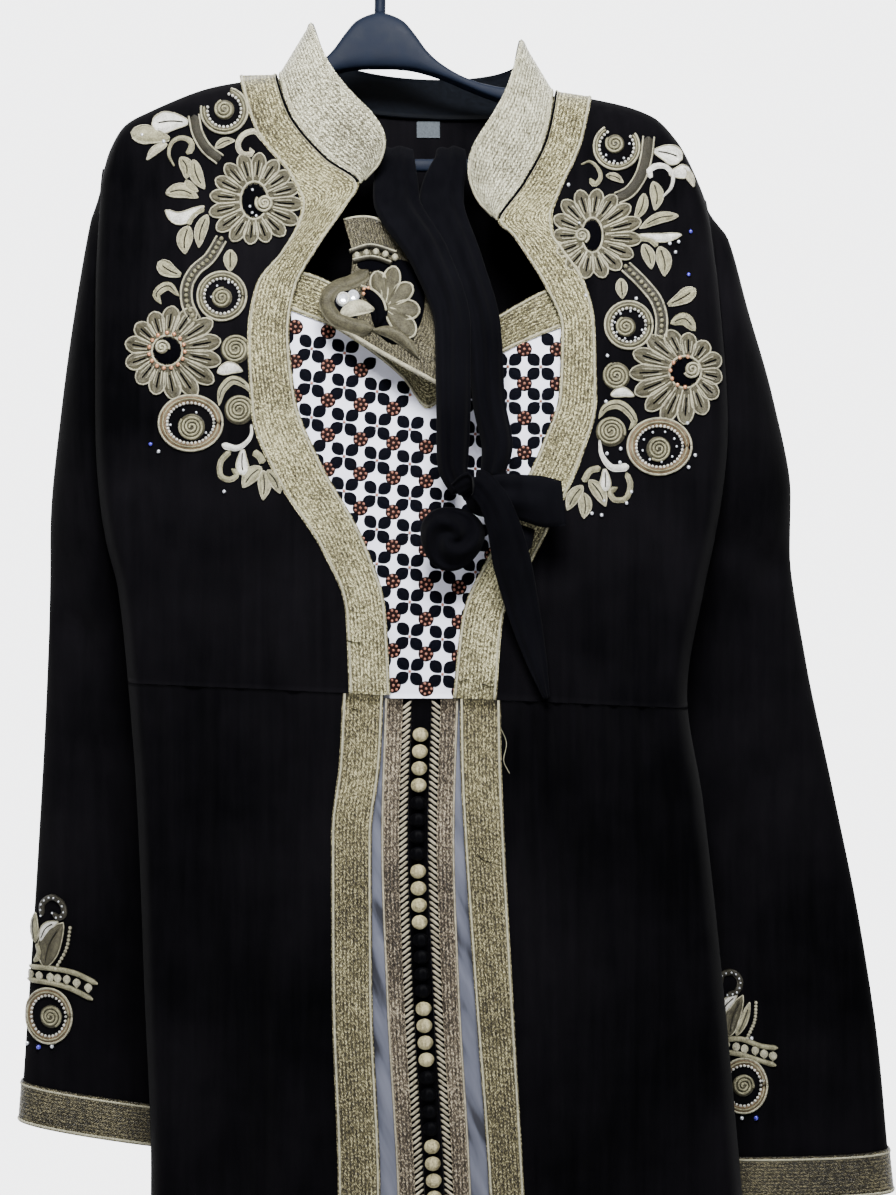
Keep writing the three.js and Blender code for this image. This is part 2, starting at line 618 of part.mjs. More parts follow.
// Underskirt behind the slit, with the two herringbone braids and the black strip of buttons.
const UNDER = { half: 62, out: -2.1 };
const STRIP_FACE = UNDER.out + 1.1;
function addUnderskirt() {
  const rows = [0, 0.08, 0.18, 0.3, 0.44, 0.58, 0.72, 0.86, 1].map((t) => mix(WAIST + 4.5, HEM - 4, t));
  const at = (offsets) =>
    rows.map((drop) =>
      offsets.map((offset) => {
        const across = placketAt(drop).centre + offset;
        return place(across, drop, frontDepth(across, drop));
      }),
    );
  const edges = [-UNDER.half, -42, -STRIP_HALF - BRAID_WIDTH, -STRIP_HALF, STRIP_HALF];
  const columns = [...edges, STRIP_HALF + BRAID_WIDTH, 42, UNDER.half];
  const grid = at(columns);
  add("underskirt_front", layer(grid, UNDER.out - 1, UNDER.out, { outward: -1 }), "satin");
  const gap = 0.15;
  const strip = at([-STRIP_HALF + gap, STRIP_HALF - gap]);
  const left = at([-STRIP_HALF - BRAID_WIDTH, -STRIP_HALF - gap]);
  const right = at([STRIP_HALF + gap, STRIP_HALF + BRAID_WIDTH]);
  add("placket_braid_left", layer(left, UNDER.out + 0.3, UNDER.out + 1.8, { outward: -1 }), "herringbone");
  add("placket_strip", layer(strip, UNDER.out + 0.3, STRIP_FACE, { outward: -1 }), "crepe");
  add("placket_braid_right", layer(right, UNDER.out + 0.3, UNDER.out + 1.8, { outward: -1 }), "herringbone");
}

// Thread-covered ball buttons, four gold and four black in turn, each four on one cord.
const BUTTON = { first: 528, pitch: 10.3, four: 41.75, radius: 4.8, flat: 0.85, neck: 1.2, groups: 21 };
const BALL = { sides: 5, rows: 3 };
function fourButtons(group) {
  const profile = [new THREE.Vector2(0, -1.5 * BUTTON.pitch - BUTTON.radius)];
  for (let ball = 0; ball < 4; ball++) {
    const middle = (ball - 1.5) * BUTTON.pitch;
    for (let row = 0; row < BALL.rows; row++) {
      const turn = Math.PI * ((row + 0.5) / BALL.rows);
      const radius = Math.max(BUTTON.neck, BUTTON.radius * Math.sin(turn));
      profile.push(new THREE.Vector2(radius, middle - BUTTON.radius * Math.cos(turn)));
    }
  }
  profile.push(new THREE.Vector2(0, 1.5 * BUTTON.pitch + BUTTON.radius));
  const middle = BUTTON.first + BUTTON.four * group + 1.5 * BUTTON.pitch;
  const { centre } = placketAt(middle);
  const lean = Math.atan2(placketAt(middle + 5).centre - placketAt(middle - 5).centre, 10);
  const slope = Math.atan2(frontDepth(centre, middle + 5) - frontDepth(centre, middle - 5), 10);
  const back = BUTTON.radius * BUTTON.flat * Math.cos(Math.PI / BALL.sides);
  const at = place(centre, middle, frontDepth(centre, middle) - (STRIP_FACE + 0.5 + back));
  const turned = new THREE.LatheGeometry(profile, BALL.sides);
  return turned.scale(1, 1, BUTTON.flat).rotateX(Math.PI / 2).rotateY(-lean).rotateX(slope).translate(...at);
}
function addButtons() {
  for (let group = 0; group < BUTTON.groups; group++) {
    const colour = group % 2 ? "black" : "gold";
    add(`buttons_${colour}_${Math.floor(group / 2) + 1}`, fourButtons(group), `${colour}Button`);
  }
}

// Raised metal-thread embroidery. Motifs are laid out flat, as an outline in (across, drop), joined
// into one applique, and then moved onto the cloth.
const THREAD = { lift: 0.6, thick: 1.3, sag: 0.3 };
const ring = (count, point) => Array.from({ length: count }, (_, i) => point((2 * Math.PI * i) / count));
const flower = (x, y, radius, petals) =>
  ring(petals * 2, (turn) => {
    const r = radius * (0.93 + 0.07 * Math.cos(petals * turn));
    return [x + r * Math.cos(turn), y + r * Math.sin(turn)];
  });
const disc = (x, y, rx, ry) => ring(9, (turn) => [x + rx * Math.cos(turn), y + ry * Math.sin(turn)]);
// A leaf from its foot to its tip, widest in the middle.
function leaf(x0, y0, x1, y1, width) {
  const [dx, dy] = [x1 - x0, y1 - y0];
  const length = Math.hypot(dx, dy);
  const side = (t) => (width / 2) * Math.sin(Math.PI * t) ** 0.8;
  const at = (t, sign) => [
    x0 + dx * t - (sign * side(t) * dy) / length,
    y0 + dy * t + (sign * side(t) * dx) / length,
  ];
  return [0, 0.3, 0.7].map((t) => at(t, 1)).concat([1, 0.7, 0.3].map((t) => at(t, -1)));
}
// A stem of even width through a few points.
function stem(width, ...through) {
  const line = new THREE.CatmullRomCurve3(through.map(([x, y]) => new THREE.Vector3(x, y, 0)));
  const count = through.length;
  const sides = [1, -1].map((sign) =>
    steps(0, 1, count).map((t) => {
      const [p, d] = [line.getPoint(t), line.getTangent(t)];
      return [p.x - (sign * width * d.y) / 2, p.y + (sign * width * d.x) / 2];
    }),
  );
  return [...sides[0], ...sides[1].reverse()];
}
// Chest spray for the right side: mirrored for the left.
const chestSpray = () => [
  flower(107.5, 210, 26, 10),
  flower(157, 299, 27, 10),
  disc(121, 157, 13, 12),
  disc(125.5, 268, 15.5, 15.5),
  disc(144, 343, 20, 22),
  disc(119.5, 299, 9, 9),
  disc(115, 335, 10, 10),
  stem(7, [130, 150], [137, 168], [120, 192]),
  stem(7, [112, 222], [139, 246], [148, 284]),
  leaf(119, 241, 121, 256, 9),
  leaf(126, 206, 152, 187, 9),
  leaf(126, 209, 157, 203, 9),
  leaf(123, 214, 148, 235, 9),
  leaf(127, 193, 135, 173, 7),
  leaf(142, 263, 164, 251, 14),
  leaf(142, 268, 164, 268, 13),
  leaf(127, 154, 158, 151, 13),
  leaf(128, 156, 166, 170, 11),
  leaf(109, 311, 136, 309, 8),
  leaf(108, 192, 101, 174, 9),
  stem(4, [133, 330], [125, 325], [118, 326]),
  stem(4, [130, 299], [134, 300], [138, 300]),
  stem(5, [121, 168], [113, 176], [108, 186]),
  stem(5, [107.5, 230], [112, 262], [122, 256]),
  stem(7, [108, 343], [109, 354], [100, 366]),
  leaf(110, 350, 115, 377, 10),
  leaf(101, 362, 88, 386, 9),
  leaf(101, 362, 101, 392, 10),
];
// Cuff motif: a curl, a leaf, a beaded bar and a ring, drawn from the middle of the bar.
const cuffSpray = (x, y, side) => [
  disc(x - 4 * side, y + 27, 19, 22),
  stem(17, [x - 18 * side, y], [x, y + 0.5], [x + 19 * side, y + 7]),
  leaf(x - 9 * side, y + 3, x + 5 * side, y - 42, 24),
  stem(6, [x - 6 * side, y - 20], [x - 13 * side, y - 30], [x - 7 * side, y - 42]),
  leaf(x - 15 * side, y - 3, x - 17 * side, y - 42, 14),
  disc(x - 7 * side, y - 45, 9.5, 9.5),
];
const MOTIF_TILT = [
  { drop: 200, tilt: 0.1 },
  { drop: 300, tilt: 0.056 },
];
const tiltAt = (drop) =>
  mix(MOTIF_TILT[0].tilt, MOTIF_TILT[1].tilt, ease((drop - MOTIF_TILT[0].drop) / 100));

// One flat solid, "thick" high, from outlines that overlap.
function unite(outlines, thick) {
  let whole = null;
  for (const outline of outlines) {
    const shape = new THREE.Shape(outline.map(([x, y]) => new THREE.Vector2(x, y)));
    const solid = solidFrom(new THREE.ExtrudeGeometry(shape, { depth: thick, bevelEnabled: false }));
    whole = whole ? whole.add(solid) : solid;
  }
  return whole;
}
// Splits each edge that would cut into the cloth, the same way on both faces that share it.
function refine(points, triangles, onCloth) {
  const middles = new Map();
  const middleOf = (a, b) => {
    const key = a < b ? `${a} ${b}` : `${b} ${a}`;
    if (!middles.has(key)) {
      points.push(points[a].clone().add(points[b]).multiplyScalar(0.5));
      middles.set(key, points.length - 1);
    }
    return middles.get(key);
  };
  const long = (a, b) => {
    const [p, q] = [points[a], points[b]];
    const onChord = onCloth(p).add(onCloth(q)).multiplyScalar(0.5);
    return onChord.distanceTo(onCloth(p.clone().add(q).multiplyScalar(0.5))) > THREAD.sag;
  };
  return triangles.flatMap(([a, b, c]) => {
    const cut = [long(a, b), long(b, c), long(c, a)];
    const turn = cut.indexOf(true);
    if (turn < 0) return [[a, b, c]];
    [a, b, c] = [[a, b, c], [b, c, a], [c, a, b]][turn];
    const [ab, second, third] = [middleOf(a, b), long(b, c), long(c, a)];
    if (second && third) {
      const [bc, ca] = [middleOf(b, c), middleOf(c, a)];
      return [[a, ab, ca], [ab, b, bc], [ca, bc, c], [ab, bc, ca]];
    }
    if (second) {
      const bc = middleOf(b, c);
      return [[a, ab, c], [ab, b, bc], [ab, bc, c]];
    }
    if (third) {
      const ca = middleOf(c, a);
      return [[a, ab, ca], [ab, b, ca], [b, c, ca]];
    }
    return [[a, ab, c], [ab, b, c]];
  });
}
function applique(outlines, onCloth) {
  const { points, triangles: flat } = surfaceOf(unite(outlines, THREAD.thick));
  let triangles = flat;
  for (let pass = 0; pass < 3; pass++) triangles = refine(points, triangles, onCloth);
  return buildGeometry(points.map(onCloth), triangles);
}
// A point this far above a face given by its depth.
function above(depthAt, across, drop, height) {
  const h = 2;
  const slopeX = (depthAt(across + h, drop) - depthAt(across - h, drop)) / (2 * h);
  const slopeZ = -(depthAt(across, drop + h) - depthAt(across, drop - h)) / (2 * h);
  const normal = new THREE.Vector3(-slopeX, 1, -slopeZ).normalize();
  return place(across, drop, depthAt(across, drop)).addScaledVector(normal, height);
}
function sleeveFace(side) {
  const rows = SLEEVE[side];
  // Front face of the sleeve at a point: its depth on the ring that passes through it.
  return (across, drop) => {
    const along = byColumn(rows);
    let index = rows.length - 1;
    for (let i = 0; i < 30; i++) {
      const row = along(index);
      const share = clamp((across - row.inAcross) / (row.outAcross - row.inAcross));
      const error = drop - mix(row.inDrop, row.outDrop, share);
      index = clamp(index + error / 75, 0, rows.length - 1);
    }
    const row = along(index);
    const cos = clamp((2 * (across - row.inAcross)) / (row.outAcross - row.inAcross) - 1, -1, 1);
    const turn = Math.acos(Math.sign(cos) * Math.abs(cos) ** (1 / row.square));
    return row.back - row.deep * Math.sin(turn) ** row.square;
  };
}
const CUFF_MOTIF = { left: { across: -226, drop: 690 }, right: { across: 205, drop: 738 } };
const bandOuter = (side) =>
  smoothLine(BAND[side].map((row) => row.outDrop), BAND[side].map((row) => row.outAcross));
function addEmbroidery() {
  for (const [side, sign] of [["left", -1], ["right", 1]]) {
    const band = bandOuter(side);
    const onSide = ([x, y]) => {
      const drop = y + tiltAt(y) * sign * x;
      return [sign * Math.max(x, sign * band(drop) + 1.2), drop];
    };
    const chest = chestSpray().map((outline) => outline.map(onSide));
    const onChest = (p) => above(frontDepth, p.x, p.y, -(THREAD.lift + p.z));
    add(`embroidery_chest_${side}`, applique(chest, onChest), "thread");
    const { across, drop } = CUFF_MOTIF[side];
    const face = sleeveFace(side);
    const onSleeve = (p) => above(face, p.x, p.y, -(THREAD.lift + 0.4 + p.z));
    add(`embroidery_sleeve_${side}`, applique(cuffSpray(across, drop, 1), onSleeve), "thread");
  }
}

// Hanger of one moulding: arms, hump, hook and the bar across its foot.
function addHanger() {
  const stations = [...HANGER.slice(1).reverse().map((row) => ({ ...row, x: -row.x })), ...HANGER];
  const rings = stations.map(({ x, top, bottom, half }) =>
    [
      [-half, top + 3],
      [-half + 3, top],
      [half - 3, top],
      [half, top + 3],
      [half, bottom],
      [-half, bottom],
    ].map(([y, drop]) => new THREE.Vector3(x, y, -drop)),
  );
  add("hanger_arms", loft(rings), "plastic");
  const { rod, bend, stemFoot, tipTurn } = HOOK;
  const centre = -bend + rod;
  const turn = (degrees) => {
    const angle = THREE.MathUtils.degToRad(degrees);
    return new THREE.Vector3(bend * Math.cos(angle), 0, centre + bend * Math.sin(angle));
  };
  const path = new THREE.CatmullRomCurve3([
    new THREE.Vector3(0, 0, -stemFoot),
    new THREE.Vector3(0, 0, -stemFoot + 10),
    new THREE.Vector3(-3, 0, centre - bend - 9),
    ...[215, 180, 135, 90, 45, 0, -tipTurn].map(turn),
  ]);
  const section = new THREE.Shape();
  section.absarc(0, 0, rod, 0, 2 * Math.PI);
  const options = { steps: 18, extrudePath: path, bevelEnabled: false, curveSegments: 4 };
  add("hanger_hook", new THREE.ExtrudeGeometry(section, options), "plastic");
  const bar = [
    [-BAR.strut, BAR.strutDrop],
    [-BAR.reach - 3, BAR.drop - 2],
    [-BAR.reach + 4, BAR.drop],
    [BAR.reach - 4, BAR.drop],
    [BAR.reach + 3, BAR.drop - 2],
    [BAR.strut, BAR.strutDrop],
  ].map(([x, drop], i, all) => {
    const [before, after] = [all[Math.max(i - 1, 0)], all[Math.min(i + 1, all.length - 1)]];
    const slant = Math.atan2(after[1] - before[1], after[0] - before[0]);
    return [
      [-BAR.thick, -BAR.half],
      [BAR.thick, -BAR.half],
      [BAR.thick, BAR.half],
      [-BAR.thick, BAR.half],
    ].map(([y, h]) => new THREE.Vector3(x - h * Math.sin(slant), y, -(drop + h * Math.cos(slant))));
  });
  add("hanger_bar", loft(bar), "plastic");
}

// Belt: an embroidered front piece and two ties that hang over the bar and are tied in a bow.
const TIE = {
  left: table("across drop depth wide thick", [
    [-17, 232, 15, 20, 4],
    [-18, 196, 12, 22, 4],
    [-18, 167, 8.5, 22, 4],
    [-18, 160, 0, 22, 4],
    [-18, 167, -8.5, 22, 4],
    [-17, 196, -25, 25, 7],
    [6, 236, -48, 19, 11],
    [20.5, 280, -58, 16, 12],
    [20, 325, -60, 18, 12],
    [17, 362, -61, 16, 12],
    [22.1, 380.4, -62, 9, 10],
  ]),
  right: table("across drop depth wide thick", [
    [17, 228, 15, 16, 4],
    [17, 196, 12, 18, 4],
    [17, 167, 8.5, 18, 4],
    [17, 160, 0, 18, 4],
    [17, 167, -8.5, 18, 4],
    [12, 196, -22, 24, 7],
    [25, 236, -44, 18, 9],
    [37.5, 280, -54, 15, 11],
    [39.5, 325, -58, 18, 11],
    [46, 352, -60, 17, 11],
    [41.5, 370.7, -61, 14, 9],
  ]),
};
const BOW = {
  knot: { across: 38, drop: 383, depth: -62, wide: 12.5, tall: 12.5, deep: 11 },
  rosette: { across: 19, drop: 409, depth: -62, wide: 21, tall: 18.5, deep: 12 },
};
// A soft band of cloth through table rows: its section is an ellipse with a few pleats.
function clothBand(rows, sides, pleats, pleatDeep) {
  return loft(
    rows.map(({ across, drop, depth, wide, thick }, i) => {
      const [before, after] = [rows[Math.max(i - 1, 0)], rows[Math.min(i + 1, rows.length - 1)]];
      const along = place(after.across, after.drop, after.depth).sub(
        place(before.across, before.drop, before.depth),
      );
      const widthWay = new THREE.Vector3(1, 0, 0).projectOnPlane(along.normalize()).normalize();
      const thickWay = along.clone().cross(widthWay);
      return ring(sides, (turn) => {
        const pleat = 1 + pleatDeep * Math.cos(pleats * turn);
        return place(across, drop, depth)
          .addScaledVector(widthWay, (wide / 2) * Math.cos(turn))
          .addScaledVector(thickWay, (thick / 2) * Math.sin(turn) * pleat);
      });
    }),
  );
}
// A rounded bundle with folds that wind round it.
function bundle({ across, drop, depth, wide, tall, deep }, folds, foldDeep) {
  const rows = steps(0.08, 0.92, 6);
  return loft(
    rows.map((t, r) =>
      ring(12, (turn) => {
        const radius = Math.sin(Math.PI * t) * (1 + foldDeep * Math.cos(folds * turn + r));
        return place(
          across + wide * radius * Math.cos(turn),
          drop - tall * Math.cos(Math.PI * t),
          depth + deep * radius * Math.sin(turn),
        );
      }),
    ),
  );
}
const BELT_PANEL = table("row leftAcross leftDrop leftDepth rightAcross rightDrop rightDepth bow", [
  [0, -50, 208, -20, 9, 262, -45, -20],
  [1, -44, 233, -29, 12, 277, -50.5, -12],
  [2, -46, 252, -38, 13, 288, -53, -6],
  [3, -52, 262, -46, 12, 297, -54, 0],
  [4, -50, 278, -48, 12, 306, -53.5, 4],
]);
function addBelt() {
  add("belt_tie_left", clothBand(TIE.left, 10, 5, 0.14), "sash");
  add("belt_tie_right", clothBand(TIE.right, 10, 5, 0.14), "sash");
  add("belt_knot", bundle(BOW.knot, 4, 0.08), "sash");
  add("belt_rosette", bundle(BOW.rosette, 5, 0.07), "sash");
  const loop = table("across drop depth wide thick", [
    [49.8, 385, -62, 9, 10],
    [60, 389, -63, 15, 15],
    [71, 392, -61, 19, 17],
    [82, 393, -58, 17, 12],
    [87, 393, -56, 12, 6],
  ]);
  add("belt_loop", loopSolid(loop), "sash");
  const tail = table("across drop depth wide thick", [
    [42, 394.6, -66.2, 13, 5],
    [52, 411, -69.5, 18, 5],
    [58, 440, -59, 25, 5],
    [66, 474, -49.5, 22, 5],
    [74, 505, -49.5, 9, 4],
  ]);
  add("belt_tail", clothBand(tail, 10, 3, 0.1), "sash");
  const grid = BELT_PANEL.map((row) =>
    steps(0, 1, 6).map((t) =>
      place(
        mix(row.leftAcross, row.rightAcross, t),
        mix(row.leftDrop, row.rightDrop, t) + row.bow * Math.sin(Math.PI * t),
        mix(row.leftDepth, row.rightDepth, t),
      ),
    ),
  );
  add("belt_front", layer(grid, -1, 1, { outward: -1 }), "thread");
}
// The bow's loop lies sideways, so its sections stand upright.
function loopSolid(rows) {
  return loft(
    rows.map(({ across, drop, depth, wide, thick }) =>
      ring(10, (turn) => place(across, drop + wide * Math.cos(turn), depth + (thick / 2) * Math.sin(turn))),
    ),
  );
}

// Blank label at the back of the neck, inside.
const LABEL = { left: -5, right: 10, top: 136.5, bottom: 147 };
function addLabel() {
  const grid = [LABEL.top, LABEL.bottom].map((drop) =>
    steps(LABEL.left, LABEL.right, 2).map((across) => place(across, drop, backDepth(across, drop))),
  );
  add("label", layer(grid, -CLOTH - 1.1, -CLOTH - 0.4, { outward: 1 }), "label");
}

addHanger();
addBack();
for (const side of ["left", "right"]) {
  addBodiceFront(side);
  addSkirtFront(side);
  addSleeve(side);
}
addCollar();
addBust();
addUnderskirt();
addButtons();
addEmbroidery();
addBelt();
addLabel();

export default kaftan;
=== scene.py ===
"""Looks of the embroidered kaftan on its hanger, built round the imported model.

Shapes are worked out in millimetres in the garment's flat layout: "across" from its centre line, "drop"
down from the rail, and "depth" from the viewer's side (-) to the back (+). Piece.make() turns them into
metres in the shared frame. The tables of the cut repeat those of the part's source.
"""

import json
import math
from types import SimpleNamespace

import bpy
import numpy as np
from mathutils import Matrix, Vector

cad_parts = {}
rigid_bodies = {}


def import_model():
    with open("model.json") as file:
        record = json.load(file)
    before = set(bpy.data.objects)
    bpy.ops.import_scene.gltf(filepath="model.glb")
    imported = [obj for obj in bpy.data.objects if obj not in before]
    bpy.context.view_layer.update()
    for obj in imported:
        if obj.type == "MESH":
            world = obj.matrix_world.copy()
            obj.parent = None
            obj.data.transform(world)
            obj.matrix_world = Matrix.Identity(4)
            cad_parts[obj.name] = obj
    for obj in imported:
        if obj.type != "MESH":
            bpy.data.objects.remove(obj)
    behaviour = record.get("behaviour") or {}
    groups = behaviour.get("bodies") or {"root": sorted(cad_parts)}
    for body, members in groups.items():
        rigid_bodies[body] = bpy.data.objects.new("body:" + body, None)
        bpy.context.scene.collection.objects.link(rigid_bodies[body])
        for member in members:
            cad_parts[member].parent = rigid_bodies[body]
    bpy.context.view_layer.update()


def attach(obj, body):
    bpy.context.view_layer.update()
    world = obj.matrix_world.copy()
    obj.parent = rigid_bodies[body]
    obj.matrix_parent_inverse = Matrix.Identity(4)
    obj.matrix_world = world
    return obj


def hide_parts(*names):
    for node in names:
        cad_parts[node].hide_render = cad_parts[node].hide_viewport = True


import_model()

# Driving sizes, in millimetres
MM = 0.001
SLIP = 28.0  # how far the garment's centre line has slid to the right of the hook
CLOTH = 1.1
BRAID = 1.2
LIFT = 0.35
SEAM = 0.12
WAIST = 505.0
WAIST_TILT = 0.045
HEM = 1518.0
SIDE_ROUND = 14.0
TOP_ROUND = 22.0
ARM_HALF_DEPTH = 20.0
ARM_TOP = 172.0
UNDERARM = 402.0
BRAID_WIDTH = 16.5
STRIP_HALF = 6.0
COLLAR_HEIGHT = 40.0
COLLAR_END_ROUND = 30.0
SIDES = {"left": -1, "right": 1}
TURN = 2 * math.pi


# ---------------------------------------------------------------- curves and tables
def smooth_line(xs, ys):
    """A smooth line through the points (xs, ys) that never overshoots them."""
    xs, ys = np.array(xs, float), np.array(ys, float)
    step = np.diff(xs)
    slope = np.diff(ys) / step
    tangent = np.concatenate([slope[:1], np.zeros(len(xs) - 2), slope[-1:]])
    for i in range(1, len(xs) - 1):
        a, b, h, k = slope[i - 1], slope[i], step[i - 1], step[i]
        if a * b > 0:
            tangent[i] = 3 * (h + k) / ((2 * k + h) / a + (k + 2 * h) / b)

    def at(x):
        x = np.asarray(x, float)
        i = np.clip(np.searchsorted(xs, x, side="right") - 1, 0, len(step) - 1)
        h = step[i]
        t = np.clip((x - xs[i]) / h, 0, 1)
        t2, t3 = t * t, t * t * t
        inside = (2 * t3 - 3 * t2 + 1) * ys[i] + (t3 - 2 * t2 + t) * h * tangent[i]
        inside = inside + (3 * t2 - 2 * t3) * ys[i + 1] + (t3 - t2) * h * tangent[i + 1]
        return inside + np.minimum(x - xs[0], 0) * tangent[0] + np.maximum(x - xs[-1], 0) * tangent[-1]

    return at


def columns(names, rows, by=None):
    """Each column of a table as a smooth line of the column "by", or of the row's number."""
    names = names.split()
    data = np.array(rows, float)
    xs = data[:, names.index(by)] if by else np.arange(len(rows))
    lines = {n: smooth_line(xs, data[:, i]) for i, n in enumerate(names) if n != by}
    return SimpleNamespace(rows=data, last=len(rows) - 1, **lines)


def mix(a, b, t):
    return a + (b - a) * t


def ease(x):
    x = np.clip(x, 0, 1)
    return x * x * (3 - 2 * x)


def quarter_round(x):
    return np.sqrt(np.maximum(0, 1 - (1 - np.clip(x, 0, 1)) ** 2))


def bump(x):
    """A soft bell of height 1 and about 2 wide."""
    return np.exp(-x * x)


def rounded(value, power):
    """A sine or cosine made squarer, or rounder, by a power that keeps its sign."""
    return np.sign(value) * np.abs(value) ** power


def beside(line):
    """Directions square to a flat path at each of its points."""
    tangent = np.gradient(line, axis=0)
    tangent /= np.maximum(np.linalg.norm(tangent, axis=1, keepdims=True), 1e-9)
    return np.stack([-tangent[:, 1], tangent[:, 0]], -1)


def rim_of(line, half):
    """Path round a form that is as wide as twice half along a flat path."""
    aside = beside(line) * np.reshape(half, (-1, 1))
    return np.concatenate([line + aside, (line - aside)[::-1]])


def spline(points, count):
    """A smooth path through points."""
    points = np.array(points, float)
    at = np.concatenate([[0], np.cumsum(np.linalg.norm(np.diff(points, axis=0), axis=1))])
    t = np.linspace(0, at[-1], count)
    tangent = np.gradient(points, at, axis=0)
    i = np.clip(np.searchsorted(at, t, side="right") - 1, 0, len(at) - 2)
    h = (at[i + 1] - at[i])[:, None]
    s = ((t - at[i]) / h[:, 0])[:, None]
    return ((2 * s**3 - 3 * s**2 + 1) * points[i] + (s**3 - 2 * s**2 + s) * h * tangent[i]
            + (3 * s**2 - 2 * s**3) * points[i + 1] + (s**3 - s**2) * h * tangent[i + 1])


BODY = columns("drop left right edge front back", [
    [110, -203, 178, 0, 24, 24],
    [172, -203, 177, 0, 26, 26],
    [192, -203.4, 178, 0, 28, 27.5],
    [260, -205, 185, 0, 34, 32],
    [340, -205, 190, -1, 37, 37],
    [402, -201, 184, -4, 38, 40],
    [440, -192, 176, -6, 37, 41],
    [505, -185, 165.5, -8, 35, 40],
    [570, -180, 175, -9, 35, 42],
    [690, -175, 188, -10, 37, 47],
    [800, -171, 198, -10, 40, 50],
    [1150, -186, 228, -9, 49, 58],
    [1520, -206, 252, -8, 60, 66],
], by="drop")
SHOULDER = columns("across drop", [
    [-203, 172], [-198, 160], [-187, 143.5], [-174, 136], [-133, 120], [-93, 113.5], [-5, 96],
    [83, 124], [111, 128.5], [143, 138], [159, 154], [168, 170], [178, 192],
], by="across")
NECK = SimpleNamespace(left=-93.0, right=83.0, back=134.0)
# The gold band on each edge of the bodice's opening, from the shoulder seam to the waist.
BAND = {
    "left": columns("in_across in_drop out_across out_drop", [
        [-93, 113.5, -117, 114],
        [-83, 143, -104, 155],
        [-60, 171, -84, 181],
        [-40, 187, -76, 201],
        [-49, 203, -79, 214],
        [-65, 227, -88, 230],
        [-79, 254, -104, 252],
        [-82.7, 281, -108.6, 283],
        [-78.4, 322, -106, 331],
        [-63, 361, -90, 372],
        [-36.4, 409, -63, 414],
        [-23, 452, -48, 452],
        [-20, 506, -45.5, 505],
    ]),
    "right": columns("in_across in_drop out_across out_drop", [
        [83, 124, 106, 127.5],
        [76, 158, 98, 163],
        [62, 186, 86, 190],
        [46, 210, 80, 208],
        [55, 220, 81, 219],
        [65, 235, 88, 230],
        [76, 254, 98, 245],
        [85, 279, 106, 276],
        [83.5, 318, 107, 322],
        [72, 352, 97, 360],
        [43, 412, 68, 420],
        [24, 455, 49, 458],
        [18, 506, 45, 508],
    ]),
}
COLLAR_END = 3
SKIRT_TOP = 509.0
SKIRT = columns("drop left_in left_out right_in right_out", [
    [SKIRT_TOP, -24.2, -49.5, 22.2, 47.5],
    [550, -26.2, -51.5, 22.8, 48.2],
    [594, -31.5, -56.5, 25, 50],
    [689, -31, -56, 31.5, 55],
    [813, -26, -52, 40.5, 62],
    [1150, -34, -60, 52, 77],
    [HEM, -46, -72, 63, 88],
], by="drop")
PLACKET = columns("drop centre", [
    [SKIRT_TOP, -1], [592, -3.3], [689, 0], [813, 7], [1150, 14], [HEM, 18],
], by="drop")
SLEEVE = {
    "left": columns("out_across out_drop in_across in_drop deep back square", [
        [-203, 172, -201, 402, 20, 0, 1],
        [-211, 203, -206, 411, 22, 1, 1],
        [-221, 258, -207, 423, 23, 3, 0.95],
        [-231, 325, -204, 441, 22, 7, 0.9],
        [-239, 395, -196, 470, 20, 13, 0.85],
        [-241, 455, -185, 508, 18, 18, 0.85],
        [-244.5, 525, -172, 556, 17, 22, 0.85],
        [-250, 612, -160, 630, 16, 25, 0.85],
        [-256, 700, -150, 712, 16, 27, 0.85],
        [-260, 756, -145, 773, 17, 28, 0.85],
        [-262, 782, -144, 800, 18, 28, 0.85],
    ]),
    "right": columns("out_across out_drop in_across in_drop deep back square", [
        [178, 192, 184, 402, 20, 0, 1],
        [192, 214, 189, 411, 22, 1, 1],
        [206, 262, 193, 423, 23, 3, 0.95],
        [222, 316, 193, 440, 22, 7, 0.9],
        [234.5, 377, 187, 466, 20, 13, 0.85],
        [235, 415, 177, 503, 18, 18, 0.85],
        [246, 485, 166, 556, 17, 22, 0.85],
        [264, 568, 162, 628, 16, 25, 0.85],
        [281, 650, 164, 700, 16, 27, 0.85],
        [294, 735, 170, 765, 17, 28, 0.85],
        [300, 800, 174, 803, 18, 28, 0.85],
        [303, 828, 176, 830, 18, 28, 0.85],
    ]),
}


# ---------------------------------------------------------------- the form the cloth hangs in
def shoulder(across):
    return SHOULDER.drop(across)


def waist(across):
    return WAIST + WAIST_TILT * across


def body_side(side, drop):
    return getattr(BODY, side)(drop)


def arm_edge(drop):
    """How far the armhole's edge stands from the side edge."""
    t = (drop - (ARM_TOP + UNDERARM) / 2) / ((UNDERARM - ARM_TOP) / 2)
    return ARM_HALF_DEPTH * np.sqrt(np.maximum(0, 1 - t * t))


def front_depth(across, drop):
    from_side = np.minimum(across - BODY.left(drop), BODY.right(drop) - across)
    arm = arm_edge(drop)
    side = quarter_round(from_side / SIDE_ROUND)
    top = quarter_round((drop - shoulder(across)) / TOP_ROUND)
    return BODY.edge(drop) - SEAM - (arm + (BODY.front(drop) - arm) * side) * top


BACK_EDGE = SimpleNamespace(round=12.0, reach=95.0)


def back_depth(across, drop):
    from_side = np.minimum(across - BODY.left(drop), BODY.right(drop) - across)
    edge = np.maximum(arm_edge(drop), BACK_EDGE.round * quarter_round(from_side / BACK_EDGE.round))
    top = quarter_round((drop - shoulder(across)) / TOP_ROUND)
    rise = ease(from_side / BACK_EDGE.reach)
    return BODY.edge(drop) + SEAM + (edge + (BODY.back(drop) - edge) * rise) * top


